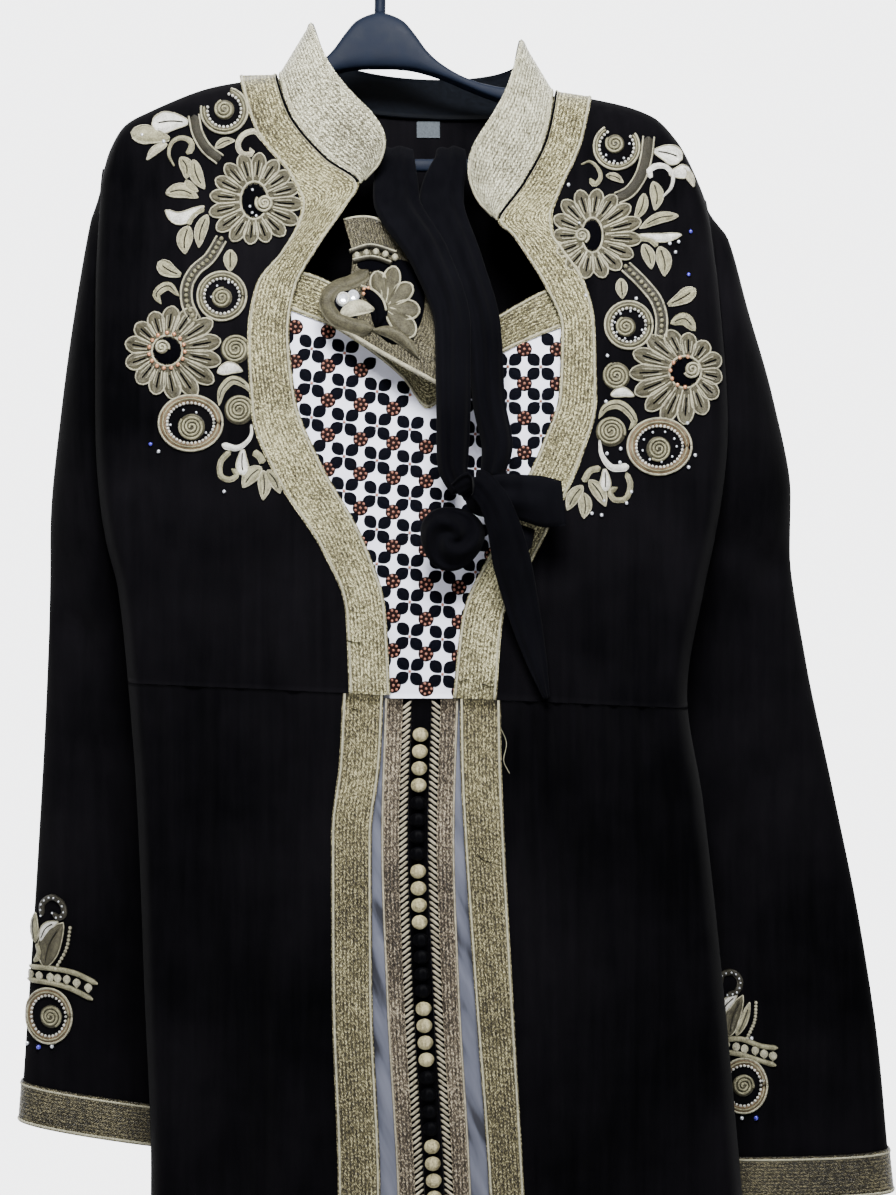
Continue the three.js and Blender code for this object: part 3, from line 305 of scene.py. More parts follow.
def place(across, drop, depth):
    """Points of the flat layout in the shared frame, still in millimetres."""
    across, drop, depth = np.broadcast_arrays(across + SLIP, drop, depth)
    return np.stack([across, depth, -drop], -1).astype(float)


def troughs(rows, across, drop):
    """Depth of creases pressed into the cloth: each row is a line (across, drop) to (across, drop),
    its half width and its depth. A negative depth is a ridge."""
    total = np.zeros(np.broadcast(across, drop).shape)
    for x0, d0, x1, d1, half, deep in rows:
        length = math.hypot(x1 - x0, d1 - d0)
        ux, ud = (x1 - x0) / length, (d1 - d0) / length
        along = ((across - x0) * ux + (drop - d0) * ud) / length
        off = (across - x0) * ud - (drop - d0) * ux
        total += deep * bump(off / half) * ease(along / 0.3) * ease((1 - along) / 0.3)
    return total


# ---------------------------------------------------------------- meshes
class Piece:
    """Closed parts collected into one mesh, in millimetres, with flat coordinates for the weave."""

    def __init__(self):
        self.points, self.faces, self.flat, self.kinds, self.count = [], [], [], [], 0

    def add(self, points, faces, flat, kind):
        """Adds one closed part, turned so that its faces look outward."""
        points = np.asarray(points, float).reshape(-1, 3)
        centre = points.mean(0)
        volume = 0.0
        for block in faces:
            block = np.asarray(block)
            corner = points[block] - centre
            for i in range(1, block.shape[1] - 1):
                volume += np.einsum("ij,ij->", corner[:, 0], np.cross(corner[:, i], corner[:, i + 1]))
        for block in faces:
            block = np.asarray(block) + self.count
            block = block[:, ::-1] if volume < 0 else block
            self.faces.extend(block.tolist())
            self.kinds.extend([kind] * len(block))
        self.points.append(points)
        self.flat.append(np.asarray(flat, float).reshape(-1, 2))
        self.count += len(points)

    def make(self, node, materials, slot, stands_in=True):
        """An object that takes the place of the CAD node of its name, or only adds to the part."""
        name = f"{node}_fine"
        mesh = bpy.data.meshes.new(name)
        mesh.from_pydata((np.concatenate(self.points) * MM).tolist(), [], self.faces)
        corner = np.zeros(len(mesh.loops), np.int32)
        mesh.loops.foreach_get("vertex_index", corner)
        layer = mesh.uv_layers.new(name="flat")
        layer.data.foreach_set("uv", np.concatenate(self.flat)[corner].astype(np.float32).ravel())
        mesh.polygons.foreach_set("use_smooth", [True] * len(mesh.polygons))
        mesh.polygons.foreach_set("material_index", self.kinds)
        for material in materials if isinstance(materials, (list, tuple)) else [materials]:
            mesh.materials.append(material)
        obj = bpy.data.objects.new(name, mesh)
        bpy.context.scene.collection.objects.link(obj)
        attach(obj, "root")
        if stands_in:
            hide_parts(node)


def grid_faces(rows, cols, closed, start=0, flip=False):
    r, c = np.meshgrid(np.arange(rows - 1), np.arange(cols if closed else cols - 1), indexing="ij")
    after = (c + 1) % cols
    quads = np.stack([r * cols + c, r * cols + after, (r + 1) * cols + after, (r + 1) * cols + c], -1)
    quads = quads.reshape(-1, 4) + start
    return quads[:, ::-1] if flip else quads


def grid_normals(grid, closed):
    down = np.empty_like(grid)
    down[1:-1] = grid[2:] - grid[:-2]
    down[0], down[-1] = grid[1] - grid[0], grid[-1] - grid[-2]
    if closed:
        along = np.roll(grid, -1, 1) - np.roll(grid, 1, 1)
    else:
        along = np.empty_like(grid)
        along[:, 1:-1] = grid[:, 2:] - grid[:, :-2]
        along[:, 0], along[:, -1] = grid[:, 1] - grid[:, 0], grid[:, -1] - grid[:, -2]
    normal = np.cross(along, down)
    size = np.linalg.norm(normal, axis=-1, keepdims=True)
    return normal / np.maximum(size, 1e-9)


def measured(grid):
    """Distance across the rows and down the columns of a grid, as flat coordinates."""
    across = np.zeros(grid.shape[:2])
    across[:, 1:] = np.cumsum(np.linalg.norm(np.diff(grid, axis=1), axis=-1), 1)
    down = np.zeros(grid.shape[:2])
    down[1:] = np.cumsum(np.linalg.norm(np.diff(grid, axis=0), axis=-1), 0)
    return np.stack([across, np.repeat(down.mean(1, keepdims=True), grid.shape[1], 1)], -1)


def shell(piece, grid, low, high, outward=1, closed=False, flat=None, kind=0):
    """A closed wall between two heights above a grid of points. A closed grid is an open-ended tube."""
    normal = grid_normals(grid, closed) * outward
    faces = [grid + normal * np.broadcast_to(h, grid.shape[:2])[..., None] for h in (high, low)]
    between(piece, *faces, closed, measured(grid) if flat is None else flat, kind)


def between(piece, top, bottom, closed, flat, kind=0):
    """A closed solid between two grids of points."""
    rows, cols = top.shape[:2]
    half = rows * cols
    quads = [grid_faces(rows, cols, closed), grid_faces(rows, cols, closed, half, flip=True)]
    index = np.arange(half).reshape(rows, cols)
    for line, turned in ((index[0], True), (index[-1], False)):
        ends = np.roll(line, -1) if closed else line[1:]
        starts = line if closed else line[:-1]
        rim = np.stack([starts, ends, ends + half, starts + half], -1)
        quads.append(rim if turned else rim[:, ::-1])
    if not closed:
        for line, turned in ((index[:, 0], False), (index[:, -1], True)):
            rim = np.stack([line[:-1], line[1:], line[1:] + half, line[:-1] + half], -1)
            quads.append(rim if turned else rim[:, ::-1])
    piece.add(np.concatenate([top.reshape(-1, 3), bottom.reshape(-1, 3)]), quads,
              np.concatenate([flat, flat]), kind)


def loft(piece, rings, flat=None, kind=0):
    """A closed solid through rings of points, capped at both ends."""
    rings = np.asarray(rings, float)
    rows, cols = rings.shape[:2]
    caps = [np.arange(cols)[None, ::-1], (np.arange(cols) + (rows - 1) * cols)[None]]
    piece.add(rings, [grid_faces(rows, cols, True), *caps], measured(rings) if flat is None else flat, kind)


def frames_along(path, closed=False):
    """Tangents of a path of points, with two directions square to each."""
    if closed:
        tangent = np.roll(path, -1, 0) - np.roll(path, 1, 0)
    else:
        tangent = np.gradient(path, axis=0)
    tangent /= np.maximum(np.linalg.norm(tangent, axis=1, keepdims=True), 1e-9)
    side = np.cross(tangent, [0, 1, 0])
    weak = np.linalg.norm(side, axis=1) < 0.2
    side[weak] = np.cross(tangent[weak], [0, 0, 1])
    side /= np.linalg.norm(side, axis=1, keepdims=True)
    return tangent, side, np.cross(side, tangent)


def tube(piece, path, radius, sides, closed=False, kind=0):
    """A cord along a path of points in space."""
    path = np.asarray(path, float)
    _, side, up = frames_along(path, closed)
    turn = np.arange(sides) * TURN / sides
    radius = np.broadcast_to(radius, len(path))[:, None, None]
    ring = side[:, None] * np.cos(turn)[None, :, None] + up[:, None] * np.sin(turn)[None, :, None]
    rings = path[:, None] + ring * radius
    if closed:
        rows = len(path)
        index = np.arange(rows * sides).reshape(rows, sides)
        below = np.roll(index, -1, 0)
        quads = np.stack([index, np.roll(index, -1, 1), np.roll(below, -1, 1), below], -1).reshape(-1, 4)
        length = np.linspace(0, np.linalg.norm(np.diff(path, axis=0), axis=1).sum(), rows)
        flat = np.stack(np.broadcast_arrays(turn[None] * 0.3, length[:, None]), -1)
        piece.add(rings, [quads], flat, kind)
    else:
        loft(piece, rings, kind=kind)


def ball(piece, centre, radius, kind):
    """A small bead."""
    lat = np.linspace(0.06, 0.94, 5) * math.pi
    lon = np.arange(7) * TURN / 7
    ring = np.stack(np.broadcast_arrays(
        np.sin(lat)[:, None] * np.cos(lon), np.sin(lat)[:, None] * np.sin(lon), np.cos(lat)[:, None]), -1)
    loft(piece, np.asarray(centre, float) + ring * radius, kind=kind)


# ---------------------------------------------------------------- materials
class Finish:
    """A node material written top down: fin.node(...) makes a node and joins what it is given."""

    def __init__(self, name, **sockets):
        self.material = bpy.data.materials.new(name)
        self.material.use_nodes = True
        self.tree = self.material.node_tree
        self.shader = self.tree.nodes["Principled BSDF"]
        for key, value in sockets.items():
            self.shader.inputs[key.replace("_", " ")].default_value = value

    def node(self, kind, inputs=None, **settings):
        made = self.tree.nodes.new("ShaderNode" + kind)
        for key, value in settings.items():
            setattr(made, key, value)
        for key, value in (inputs or {}).items():
            if isinstance(value, bpy.types.NodeSocket):
                self.tree.links.new(value, made.inputs[key])
            else:
                made.inputs[key].default_value = value
        return made

    def space(self, kind="Object", scale=(1, 1, 1), turn=(0, 0, 0)):
        """Coordinates of the object in metres, or its flat ones (kind "UV") in millimetres."""
        source = self.node("TexCoord").outputs[kind]
        return self.node("Mapping", {"Vector": source, "Scale": scale, "Rotation": turn}).outputs[0]

    def noise(self, where, scale, detail, rough=0.6):
        inputs = {"Vector": where, "Scale": scale, "Detail": detail, "Roughness": rough}
        return self.node("TexNoise", inputs).outputs[0]

    def ramp(self, value, *stops):
        """A colour ramp of (place, colour) stops."""
        made = self.node("ValToRGB", {"Fac": value})
        elements = made.color_ramp.elements
        while len(elements) < len(stops):
            elements.new(0.5)
        for element, (at, colour) in zip(elements, stops):
            element.position = at
            element.color = (*colour, 1) if len(colour) == 3 else colour
        return made.outputs[0]

    def maths(self, operation, a, b):
        return self.node("Math", {0: a, 1: b}, operation=operation).outputs[0]

    def relief(self, *heights):
        """Bumps of (height, strength, distance in metres), one on top of the other."""
        normal = None
        for height, strength, distance in heights:
            inputs = {"Height": height, "Strength": strength, "Distance": distance}
            if normal is not None:
                inputs["Normal"] = normal
            normal = self.node("Bump", inputs).outputs[0]
        self.tree.links.new(normal, self.shader.inputs["Normal"])

    def join(self, socket, value):
        self.tree.links.new(value, self.shader.inputs[socket])


def grey(value):
    return (value, value, value)


def crepe_finish(name="crepe_cloth", tint=(0.00055, 0.00055, 0.0008), lift=(0.0033, 0.0030, 0.0038)):
    fin = Finish(name, Sheen_Weight=0.012, Sheen_Roughness=0.5, Specular_IOR_Level=0.006)
    where = fin.space()
    # The colour varies in broad clouds and long upright streaks; the streaks are partly the crepe's own tone
    # and partly painted shade standing in for folds.
    streaks = fin.space(scale=(1, 1, 0.06))
    cloud = fin.noise(where, 7, 4)
    streak = fin.noise(streaks, 160, 3)
    grain = fin.noise(where, 1400, 2)
    both = fin.maths("ADD", fin.maths("MULTIPLY", cloud, 0.78), fin.maths("MULTIPLY", streak, 0.22))
    fin.join("Base Color", fin.ramp(both, (0.36, tint), (0.66, lift)))
    fin.join("Roughness", fin.ramp(grain, (0.3, grey(0.66)), (0.7, grey(0.9))))
    fin.relief((fin.noise(where, 26, 3), 0.25, 0.002), (grain, 0.4, 0.0004))
    return fin.material


STRIPES = SimpleNamespace(scale=0.14, wander=0.6, strength=0.2)  # brighter and darker rows along a braid


def braid_finish(name, bright, mid, dark):
    """Woven metallic braid: slanted grains like rice, in zones that are brighter and darker."""
    fin = Finish(name, Metallic=0.25, Specular_IOR_Level=0.3)
    grains = fin.space("UV", scale=(1.25, 0.78, 1), turn=(0, 0, 0.62))
    cells = fin.node("TexVoronoi", {"Vector": grains, "Scale": 1.0, "Randomness": 0.6}, feature="F1")
    fleck = fin.node("SeparateColor", {0: cells.outputs["Color"]}).outputs[0]
    # Each grain is painted lighter in its middle and darker at its rim: painted light and shade on the raised
    # grains.
    grain_light_and_shade = fin.maths("SUBTRACT", 0.75, cells.outputs["Distance"])
    zones = fin.noise(fin.space(), 15, 4, 0.7)
    shade = fin.maths("ADD", fin.maths("MULTIPLY", fleck, 0.3), fin.maths("MULTIPLY", zones, 0.62))
    shade = fin.maths("ADD", shade, fin.maths("MULTIPLY", grain_light_and_shade, 0.75))
    inputs = {"Vector": fin.space("UV"), "Scale": STRIPES.scale, "Distortion": STRIPES.wander}
    rows = fin.node("TexWave", inputs, bands_direction="X").outputs["Fac"]
    stripe = fin.maths("MULTIPLY", fin.maths("SUBTRACT", rows, 0.5), STRIPES.strength)
    shade = fin.maths("ADD", shade, stripe)
    fin.join("Base Color", fin.ramp(shade, (0.42, dark), (0.68, mid), (0.98, bright)))
    fin.join("Roughness", fin.ramp(fleck, (0.0, grey(0.32)), (1.0, grey(0.55))))
    fin.relief((fin.maths("MULTIPLY", cells.outputs["Distance"], -1.0), 0.9, 0.0009))
    return fin.material


def plain_finish(name, colour, rough, scale, spread, **sockets):
    """A colour that varies a little, with a fine relief."""
    fin = Finish(name, **sockets)
    cloud = fin.noise(fin.space(), scale, 3)
    low, high = ([c * (1 + s) for c in colour] for s in (-spread, spread))
    fin.join("Base Color", fin.ramp(cloud, (0.3, low), (0.7, high)))
    fin.join("Roughness", fin.ramp(cloud, (0.3, grey(rough * 0.9)), (0.7, grey(min(1, rough * 1.1)))))
    fin.relief((cloud, 0.4, 0.0004))
    return fin.material


STITCH_PITCH = 0.55


def stitch_finish(name, bright, dark, metallic=0.2, **sockets):
    """Satin stitch: fine threads lie square to the flat coordinates' second axis, and glint in places."""
    fin = Finish(name, Metallic=metallic, Roughness=0.42, Specular_IOR_Level=0.2, **sockets)
    inputs = {"Vector": fin.space("UV"), "Distortion": 0.6, "Detail": 1.0}
    inputs["Scale"] = 1 / (math.pi * STITCH_PITCH)
    threads = fin.node("TexWave", inputs, bands_direction="Y").outputs[1]
    cloud = fin.noise(fin.space(), 190, 3)
    glint = fin.noise(fin.space(), 1100, 2)
    both = fin.maths("ADD", fin.maths("MULTIPLY", threads, 0.25), fin.maths("MULTIPLY", cloud, 0.4))
    both = fin.maths("ADD", both, fin.maths("MULTIPLY", glint, 0.4))
    fin.join("Base Color", fin.ramp(both, (0.36, dark), (0.66, bright)))
    fin.relief((threads, 0.5, 0.0003), (glint, 0.5, 0.0004))
    return fin.material


def satin_finish():
    """Satin with soft shade in long slanting creases."""
    fin = Finish("underskirt_satin", Roughness=0.4, Specular_IOR_Level=0.4)
    slanting = fin.node("Mapping", {"Vector": fin.space(turn=(0, 0.4, 0)), "Scale": (1, 1, 0.16)}).outputs[0]
    crease = fin.noise(slanting, 105, 2, 0.45)
    threads = fin.noise(fin.space(scale=(1, 1, 0.1)), 1500, 2)
    shade = fin.maths("ADD", crease, fin.maths("MULTIPLY", threads, 0.05))
    stops = (0.4, (0.016, 0.017, 0.024)), (0.5, (0.068, 0.073, 0.098)), (0.68, (0.1, 0.106, 0.138))
    fin.join("Base Color", fin.ramp(shade, *stops))
    fin.relief((crease, 0.5, 0.004), (threads, 0.2, 0.0002))
    return fin.material


CREPE = crepe_finish()
SASH = crepe_finish("sash_crepe", (0.0009, 0.0009, 0.0014), (0.0026, 0.0026, 0.0036))
LINING = plain_finish("black_lining", (0.002, 0.0025, 0.0036), 0.7, 300, 0.4, Specular_IOR_Level=0.01)
GOLD = braid_finish("champagne_braid", (0.58, 0.55, 0.33), (0.15, 0.135, 0.068), (0.022, 0.018, 0.007))
# The same champagne braid painted darker for the skirt bands: painted shade where the light falls off lower
# down.
SKIRT_SHADED_GOLD = braid_finish("skirt_shaded_braid", (0.4, 0.365, 0.205), (0.095, 0.082, 0.038), (0.013, 0.01, 0.004))
# The same braid painted far darker for the cuffs: painted shade of the dim light at the sleeves' ends.
CUFF_SHADED_GOLD = braid_finish("cuff_shaded_braid", (0.14, 0.122, 0.066), (0.024, 0.02, 0.009),
                         (0.004, 0.003, 0.001))
# The same braid painted brighter and paler for the collar: painted highlight of the light the collar catches.
HIGHLIT_GOLD = braid_finish("highlit_gold_braid", (0.74, 0.73, 0.56), (0.26, 0.25, 0.17), (0.045, 0.04, 0.024))
OLIVE_BRAID = braid_finish("olive_braid", (0.15, 0.135, 0.085), (0.042, 0.037, 0.021), (0.01, 0.008, 0.004))
SPECKLE = braid_finish("speckled_braid", (0.38, 0.325, 0.23), (0.078, 0.061, 0.041), (0.011, 0.008, 0.005))
PIPING = stitch_finish("pale_piping", (0.36, 0.345, 0.25), (0.16, 0.15, 0.095))
PRINT = plain_finish("printed_ground", (0.66, 0.67, 0.78), 0.8, 60, 0.05, Specular_IOR_Level=0.1)
PRINT_BLACK = plain_finish("printed_petals", (0.0012, 0.0014, 0.003), 0.7, 900, 0.5, Specular_IOR_Level=0.02)
MAROON = plain_finish("cluster_ground", (0.008, 0.003, 0.003), 0.7, 800, 0.4, Specular_IOR_Level=0.05)
CORAL = plain_finish("coral_beads", (0.27, 0.105, 0.07), 0.35, 500, 0.4, Metallic=0.2)
SATIN = satin_finish()
BUTTON_GOLD = stitch_finish("button_gold_thread", (0.5, 0.45, 0.26), (0.04, 0.031, 0.013))
BUTTON_BLACK = plain_finish("button_black_thread", (0.0008, 0.0008, 0.0012), 0.6, 900, 0.5,
                            Specular_IOR_Level=0.03)
HERRINGBONE = stitch_finish("herringbone_cord", (0.38, 0.345, 0.25), (0.095, 0.08, 0.052))
CHAMPAGNE = stitch_finish("champagne_thread", (0.29, 0.275, 0.175), (0.035, 0.032, 0.018))
TAUPE = stitch_finish("taupe_thread", (0.085, 0.078, 0.048), (0.006, 0.005, 0.003))
PALE_CORD = stitch_finish("pale_cord", (0.42, 0.40, 0.29), (0.06, 0.055, 0.035))
WHITE_THREAD = stitch_finish("white_thread", (0.66, 0.65, 0.6), (0.15, 0.147, 0.125), 0.1)
VELVET = plain_finish("black_velvet", (0.0007, 0.0007, 0.0012), 0.8, 900, 0.5, Specular_IOR_Level=0.01)
OLIVE = stitch_finish("olive_thread", (0.03, 0.027, 0.018), (0.005, 0.0045, 0.003))
COPPER = plain_finish("copper_beads", (0.48, 0.24, 0.13), 0.25, 700, 0.3, Metallic=0.5)
CRYSTAL = plain_finish("crystal_beads", (0.55, 0.57, 0.62), 0.15, 700, 0.3, Metallic=0.5)
VIOLET = plain_finish("violet_beads", (0.07, 0.06, 0.5), 0.15, 700, 0.2, Metallic=0.4)
RUSSET = stitch_finish("russet_thread", (0.15, 0.105, 0.058), (0.014, 0.008, 0.004))
NAVY_PLASTIC = plain_finish("navy_plastic", (0.0036, 0.006, 0.013), 0.6, 90, 0.12, Specular_IOR_Level=0.08)
LABEL = plain_finish("label_cloth", (0.05, 0.058, 0.066), 0.8, 900, 0.2, Specular_IOR_Level=0.1)
THREADS = [CHAMPAGNE, TAUPE, PALE_CORD, WHITE_THREAD, VELVET, OLIVE, COPPER, CRYSTAL, VIOLET, RUSSET,
           OLIVE_BRAID]
# The number of each thread in THREADS, as the tables of stitches name them.
IVORY, DUSK, CORD, WHITE, BLACK, DARK, RED, GLASS, BLUE, RUST, WOVEN = range(len(THREADS))


# ---------------------------------------------------------------- cloth of the bodice and skirt
FRONT_FOLDS = [  # across, drop to across, drop, half width, depth
    [-100, 360, -100, 560, 9, 4.5],
    [-150, 300, -128, 505, 26, 3.0],
    [140, 330, 120, 520, 24, 3.0],
    [78, 400, 96, 520, 16, 1.6],
    [-188, 250, -150, 430, 14, 2.2],
    [172, 260, 132, 440, 13, 2.2],
]
BACK_CREASES = [
    [-60, 170, -30, 480, 30, -3.0],
    [70, 180, 40, 480, 28, -3.5],
    [-150, 190, -120, 470, 22, 3.0],
    [135, 200, 110, 470, 24, 3.0],
    [10, 210, 5, 500, 34, 2.5],
]


def bodice_front(across, drop):
    return front_depth(across, drop) + troughs(FRONT_FOLDS, across, drop)


def outer_edge(side, t):
    tip = SLEEVE[side].rows[0][1]
    foot = waist(body_side(side, WAIST)) - SEAM
    drop = mix(tip, foot, t)
    return body_side(side, drop), drop


def above_seam(across, drop):
    return np.minimum(drop, waist(across) - SEAM)


def bodice_layout(side, index, share):
    """Flat place of a point of the front: index runs down the band's table, share from the band's
    outer edge to the side edge."""
    band, t = BAND[side], index / BAND[side].last
    across0 = band.out_across(index)
    drop0 = above_seam(across0, band.out_drop(index))
    edge, edge_drop = outer_edge(side, t)
    across = mix(across0, edge, share)
    tip, tip_drop = outer_edge(side, 0)
    top = mix(band.out_across(0), tip, share)
    bow = shoulder(top) - mix(band.out_drop(0), tip_drop, share)
    return across, above_seam(across, mix(drop0, edge_drop, share) + bow * (1 - t) ** 2)


def band_layout(side, index, share):
    """Flat place of a point of the bodice's band, from its inner (0) to its outer edge (1)."""
    band = BAND[side]
    across = mix(band.in_across(index), band.out_across(index), share)
    drop = mix(band.in_drop(index), band.out_drop(index), share)
    return across, above_seam(across, drop)


def crowded(count, low_end, high_end=0.0):
    """Shares from 0 to 1 with more of them near an end."""
    t = np.linspace(0, 1, count)
    if low_end:
        t = t ** (1 + low_end)
    if high_end:
        t = 1 - (1 - t) ** (1 + high_end)
    return t


BRAID_COLUMNS = 33
PIPE_SHARE = 0.045
RIB_HEIGHT = 0.16
PIPE_HEIGHT = 0.5


def braid_height(share, ribs):
    """Height of woven braid across its width: soft ribs between two round piped edges."""
    from_edge = np.minimum(share, 1 - share)
    ribbed = RIB_HEIGHT * np.abs(np.sin(math.pi * ribs * (share - PIPE_SHARE) / (1 - 2 * PIPE_SHARE)))
    piped = PIPE_HEIGHT * np.sqrt(np.maximum(0, 1 - ((from_edge / PIPE_SHARE - 1) ** 2)))
    return np.where(from_edge < 2 * PIPE_SHARE, np.maximum(piped, 0), ribbed)


def braid_shares():
    edge = np.linspace(0, 2 * PIPE_SHARE, 6)
    middle = np.linspace(edge[-1], 1 - edge[-1], BRAID_COLUMNS)[1:-1]
    return np.concatenate([edge, middle, 1 - edge[::-1]])


PIPE = SimpleNamespace(index=3, radius=0.85, lift=0.75)
RIB_SUNK = 0.4


def add_braid(piece, grid, shares, low, outward, lengthwise=True, closed=False, ribs=6):
    """Braid on a grid of its cloth, with a smooth cord along each edge. The rows of a lengthwise grid
    follow one another along the braid."""
    height, flat = low + BRAID - RIB_SUNK + braid_height(shares, ribs), measured(grid)
    if lengthwise:
        shell(piece, grid, low, height[None], outward, closed, flat)
    else:
        shell(piece, grid, low, height[:, None], outward, closed, flat[..., ::-1])
    raised = grid + grid_normals(grid, closed) * outward * (low + PIPE.lift)
    raised = raised.transpose(1, 0, 2) if lengthwise else raised
    for line in (raised[PIPE.index], raised[-1 - PIPE.index]):
        tube(piece, line, PIPE.radius, 8, closed, kind=1)


def add_bodice_front(side):
    outward = -SIDES[side]
    index = np.linspace(0, BAND[side].last, 109)[:, None]
    inner = band_layout(side, index, np.linspace(0, 1, 8)[None, :-1])
    outer = bodice_layout(side, index, crowded(64, 0, 0.35)[None])
    across = np.concatenate([inner[0], outer[0]], 1)
    drop = np.concatenate([inner[1], outer[1]], 1)
    panel = Piece()
    shell(panel, place(across, drop, bodice_front(across, drop)), -CLOTH, 0, outward)
    panel.make(f"front_bodice_{side}", CREPE, "crepe")
    shares = braid_shares()
    index = np.linspace(0, BAND[side].last, 133)[:, None]
    across, drop = band_layout(side, index, shares[None])
    band = Piece()
    add_braid(band, place(across, drop, bodice_front(across, drop)), shares, LIFT, outward)
    band.make(f"band_bodice_{side}", [GOLD, PIPING], "gold_braid")


# Gathers below the waist open into a few broad folds.
GATHERS = {"left": 4, "right": 6}
GATHER = SimpleNamespace(deep=2.2, fade=0.24)
FOLDS = {  # share of the panel's width, half width as such a share, depth
    "left": [[0.42, 0.1, 13], [0.72, 0.12, 9]],
    "right": [[0.25, 0.1, 7], [0.55, 0.12, 12], [0.8, 0.1, 9]],
}


def skirt_fold(side, share, t):
    in_band = ease(share / 0.08) * ease((1 - share) / 0.1)
    gather = np.cos(TURN * GATHERS[side] * share) * GATHER.deep * (1 - ease(t / GATHER.fade))
    folds = sum(deep * ease(0.12 + t) * bump((share - at) / (width * (1 - 0.35 * t)))
                for at, width, deep in FOLDS[side])
    return in_band * (gather + folds)


SKIRT_CREASES = [  # across, drop to across, drop, half width, depth
    [-99, 500, -104, 1500, 5.5, 4.5],
    [-116, 500, -124, 900, 12, -2.5],
    [-150, 560, -163, 1100, 13, 4.0],
    [70, 500, 78, 720, 5, 2.2],
    [88, 500, 97, 860, 7, 2.8],
    [112, 500, 124, 780, 6, 2.4],
    [128, 500, 146, 1050, 10, 3.6],
    [-66, 500, -68, 640, 4, 1.6],
    [-80, 500, -83, 600, 3.5, 1.4],
]


def skirt_line(across, t):
    return mix(waist(across) + SEAM, HEM, t)


def skirt_side(side, t):
    drop = skirt_line(body_side(side, WAIST), t)
    return body_side(side, drop), drop


def skirt_band(side, t):
    at = mix(SKIRT_TOP, HEM, t)
    return getattr(SKIRT, f"{side}_in")(at), getattr(SKIRT, f"{side}_out")(at)


def skirt_layout(side, t, share):
    """Flat place on the front of the skirt and its depth, from the band's outer edge to the side seam."""
    _, band_out = skirt_band(side, t)
    edge, edge_drop = skirt_side(side, t)
    across = mix(band_out, edge, share)
    drop = mix(skirt_line(band_out, t), edge_drop, share)
    inner = edge - SIDES[side] * SIDE_ROUND
    fold_share = np.clip((across - band_out) / (inner - band_out), 0, 1)
    creases = troughs(SKIRT_CREASES, across, drop) * ease(share / 0.06)
    return across, drop, front_depth(across, drop) + skirt_fold(side, fold_share, t) + creases


def skirt_band_layout(side, t, share):
    band_in, band_out = skirt_band(side, t)
    across = mix(band_in, band_out, share)
    drop = skirt_line(across, t)
    return across, drop, front_depth(across, drop)


def add_skirt_front(side):
    outward = -SIDES[side]
    t = crowded(99, 0.35)[:, None]
    inner = skirt_band_layout(side, t, np.linspace(0, 1, 8)[None, :-1])
    outer = skirt_layout(side, t, crowded(88, 0, 0.25)[None])
    panel = Piece()
    shell(panel, place(*(np.concatenate([a, b], 1) for a, b in zip(inner, outer))), -CLOTH, 0, outward)
    panel.make(f"front_skirt_{side}", CREPE, "crepe")
    shares = braid_shares()
    band = Piece()
    t = np.linspace(0, 1, 135)[:, None]
    add_braid(band, place(*skirt_band_layout(side, t, shares[None])), shares, LIFT, outward)
    # The skirt bands wear the braid with painted shade.
    band.make(f"band_skirt_{side}", [SKIRT_SHADED_GOLD, PIPING], "gold_braid")


def back_neck(across):
    t = np.clip((across - NECK.left) / (NECK.right - NECK.left), 0, 1)
    ends = shoulder(NECK.left), shoulder(NECK.right)
    return mix(*ends, t) + (NECK.back - mix(*ends, 0.5)) * np.sqrt(np.maximum(0, 1 - (2 * t - 1) ** 2))


def back_top(across):
    inside = (across > NECK.left) & (across < NECK.right)
    return np.where(inside, back_neck(across), shoulder(across))


def back_layout(top_across, t):
    tips = [outer_edge(s, 0) for s in SIDES]
    feet = [outer_edge(s, 1) for s in SIDES]
    share = (top_across - tips[0][0]) / (tips[1][0] - tips[0][0])
    bottom = mix(BODY.left(WAIST), BODY.right(WAIST), share)
    top = [top_across, back_top(top_across)]
    bottom = [bottom, waist(bottom) - SEAM]
    edges = [outer_edge(s, t) for s in SIDES]
    corner = [mix(mix(tips[0][i], tips[1][i], share), mix(feet[0][i], feet[1][i], share), t) for i in (0, 1)]
    return [mix(top[i], bottom[i], t) + mix(edges[0][i], edges[1][i], share) - corner[i] for i in (0, 1)]


BACK_FOLDS = SimpleNamespace(count=4, deep=13, edge=0.06, gathers=15, gather=1.6)


def back_fold(share, t):
    edge = BACK_FOLDS.edge
    inside = ease((share - edge) / 0.2) * ease((1 - edge - share) / 0.2)
    drift = 0.5 * np.sin(7 * share + 1.5 * t)
    wave = np.cos(TURN * BACK_FOLDS.count * (share - edge) / (1 - 2 * edge) + drift)
    gather = BACK_FOLDS.gather * np.cos(TURN * BACK_FOLDS.gathers * share) * (1 - ease(t / 0.2))
    return inside * (gather - BACK_FOLDS.deep * ease(0.1 + t) * wave)


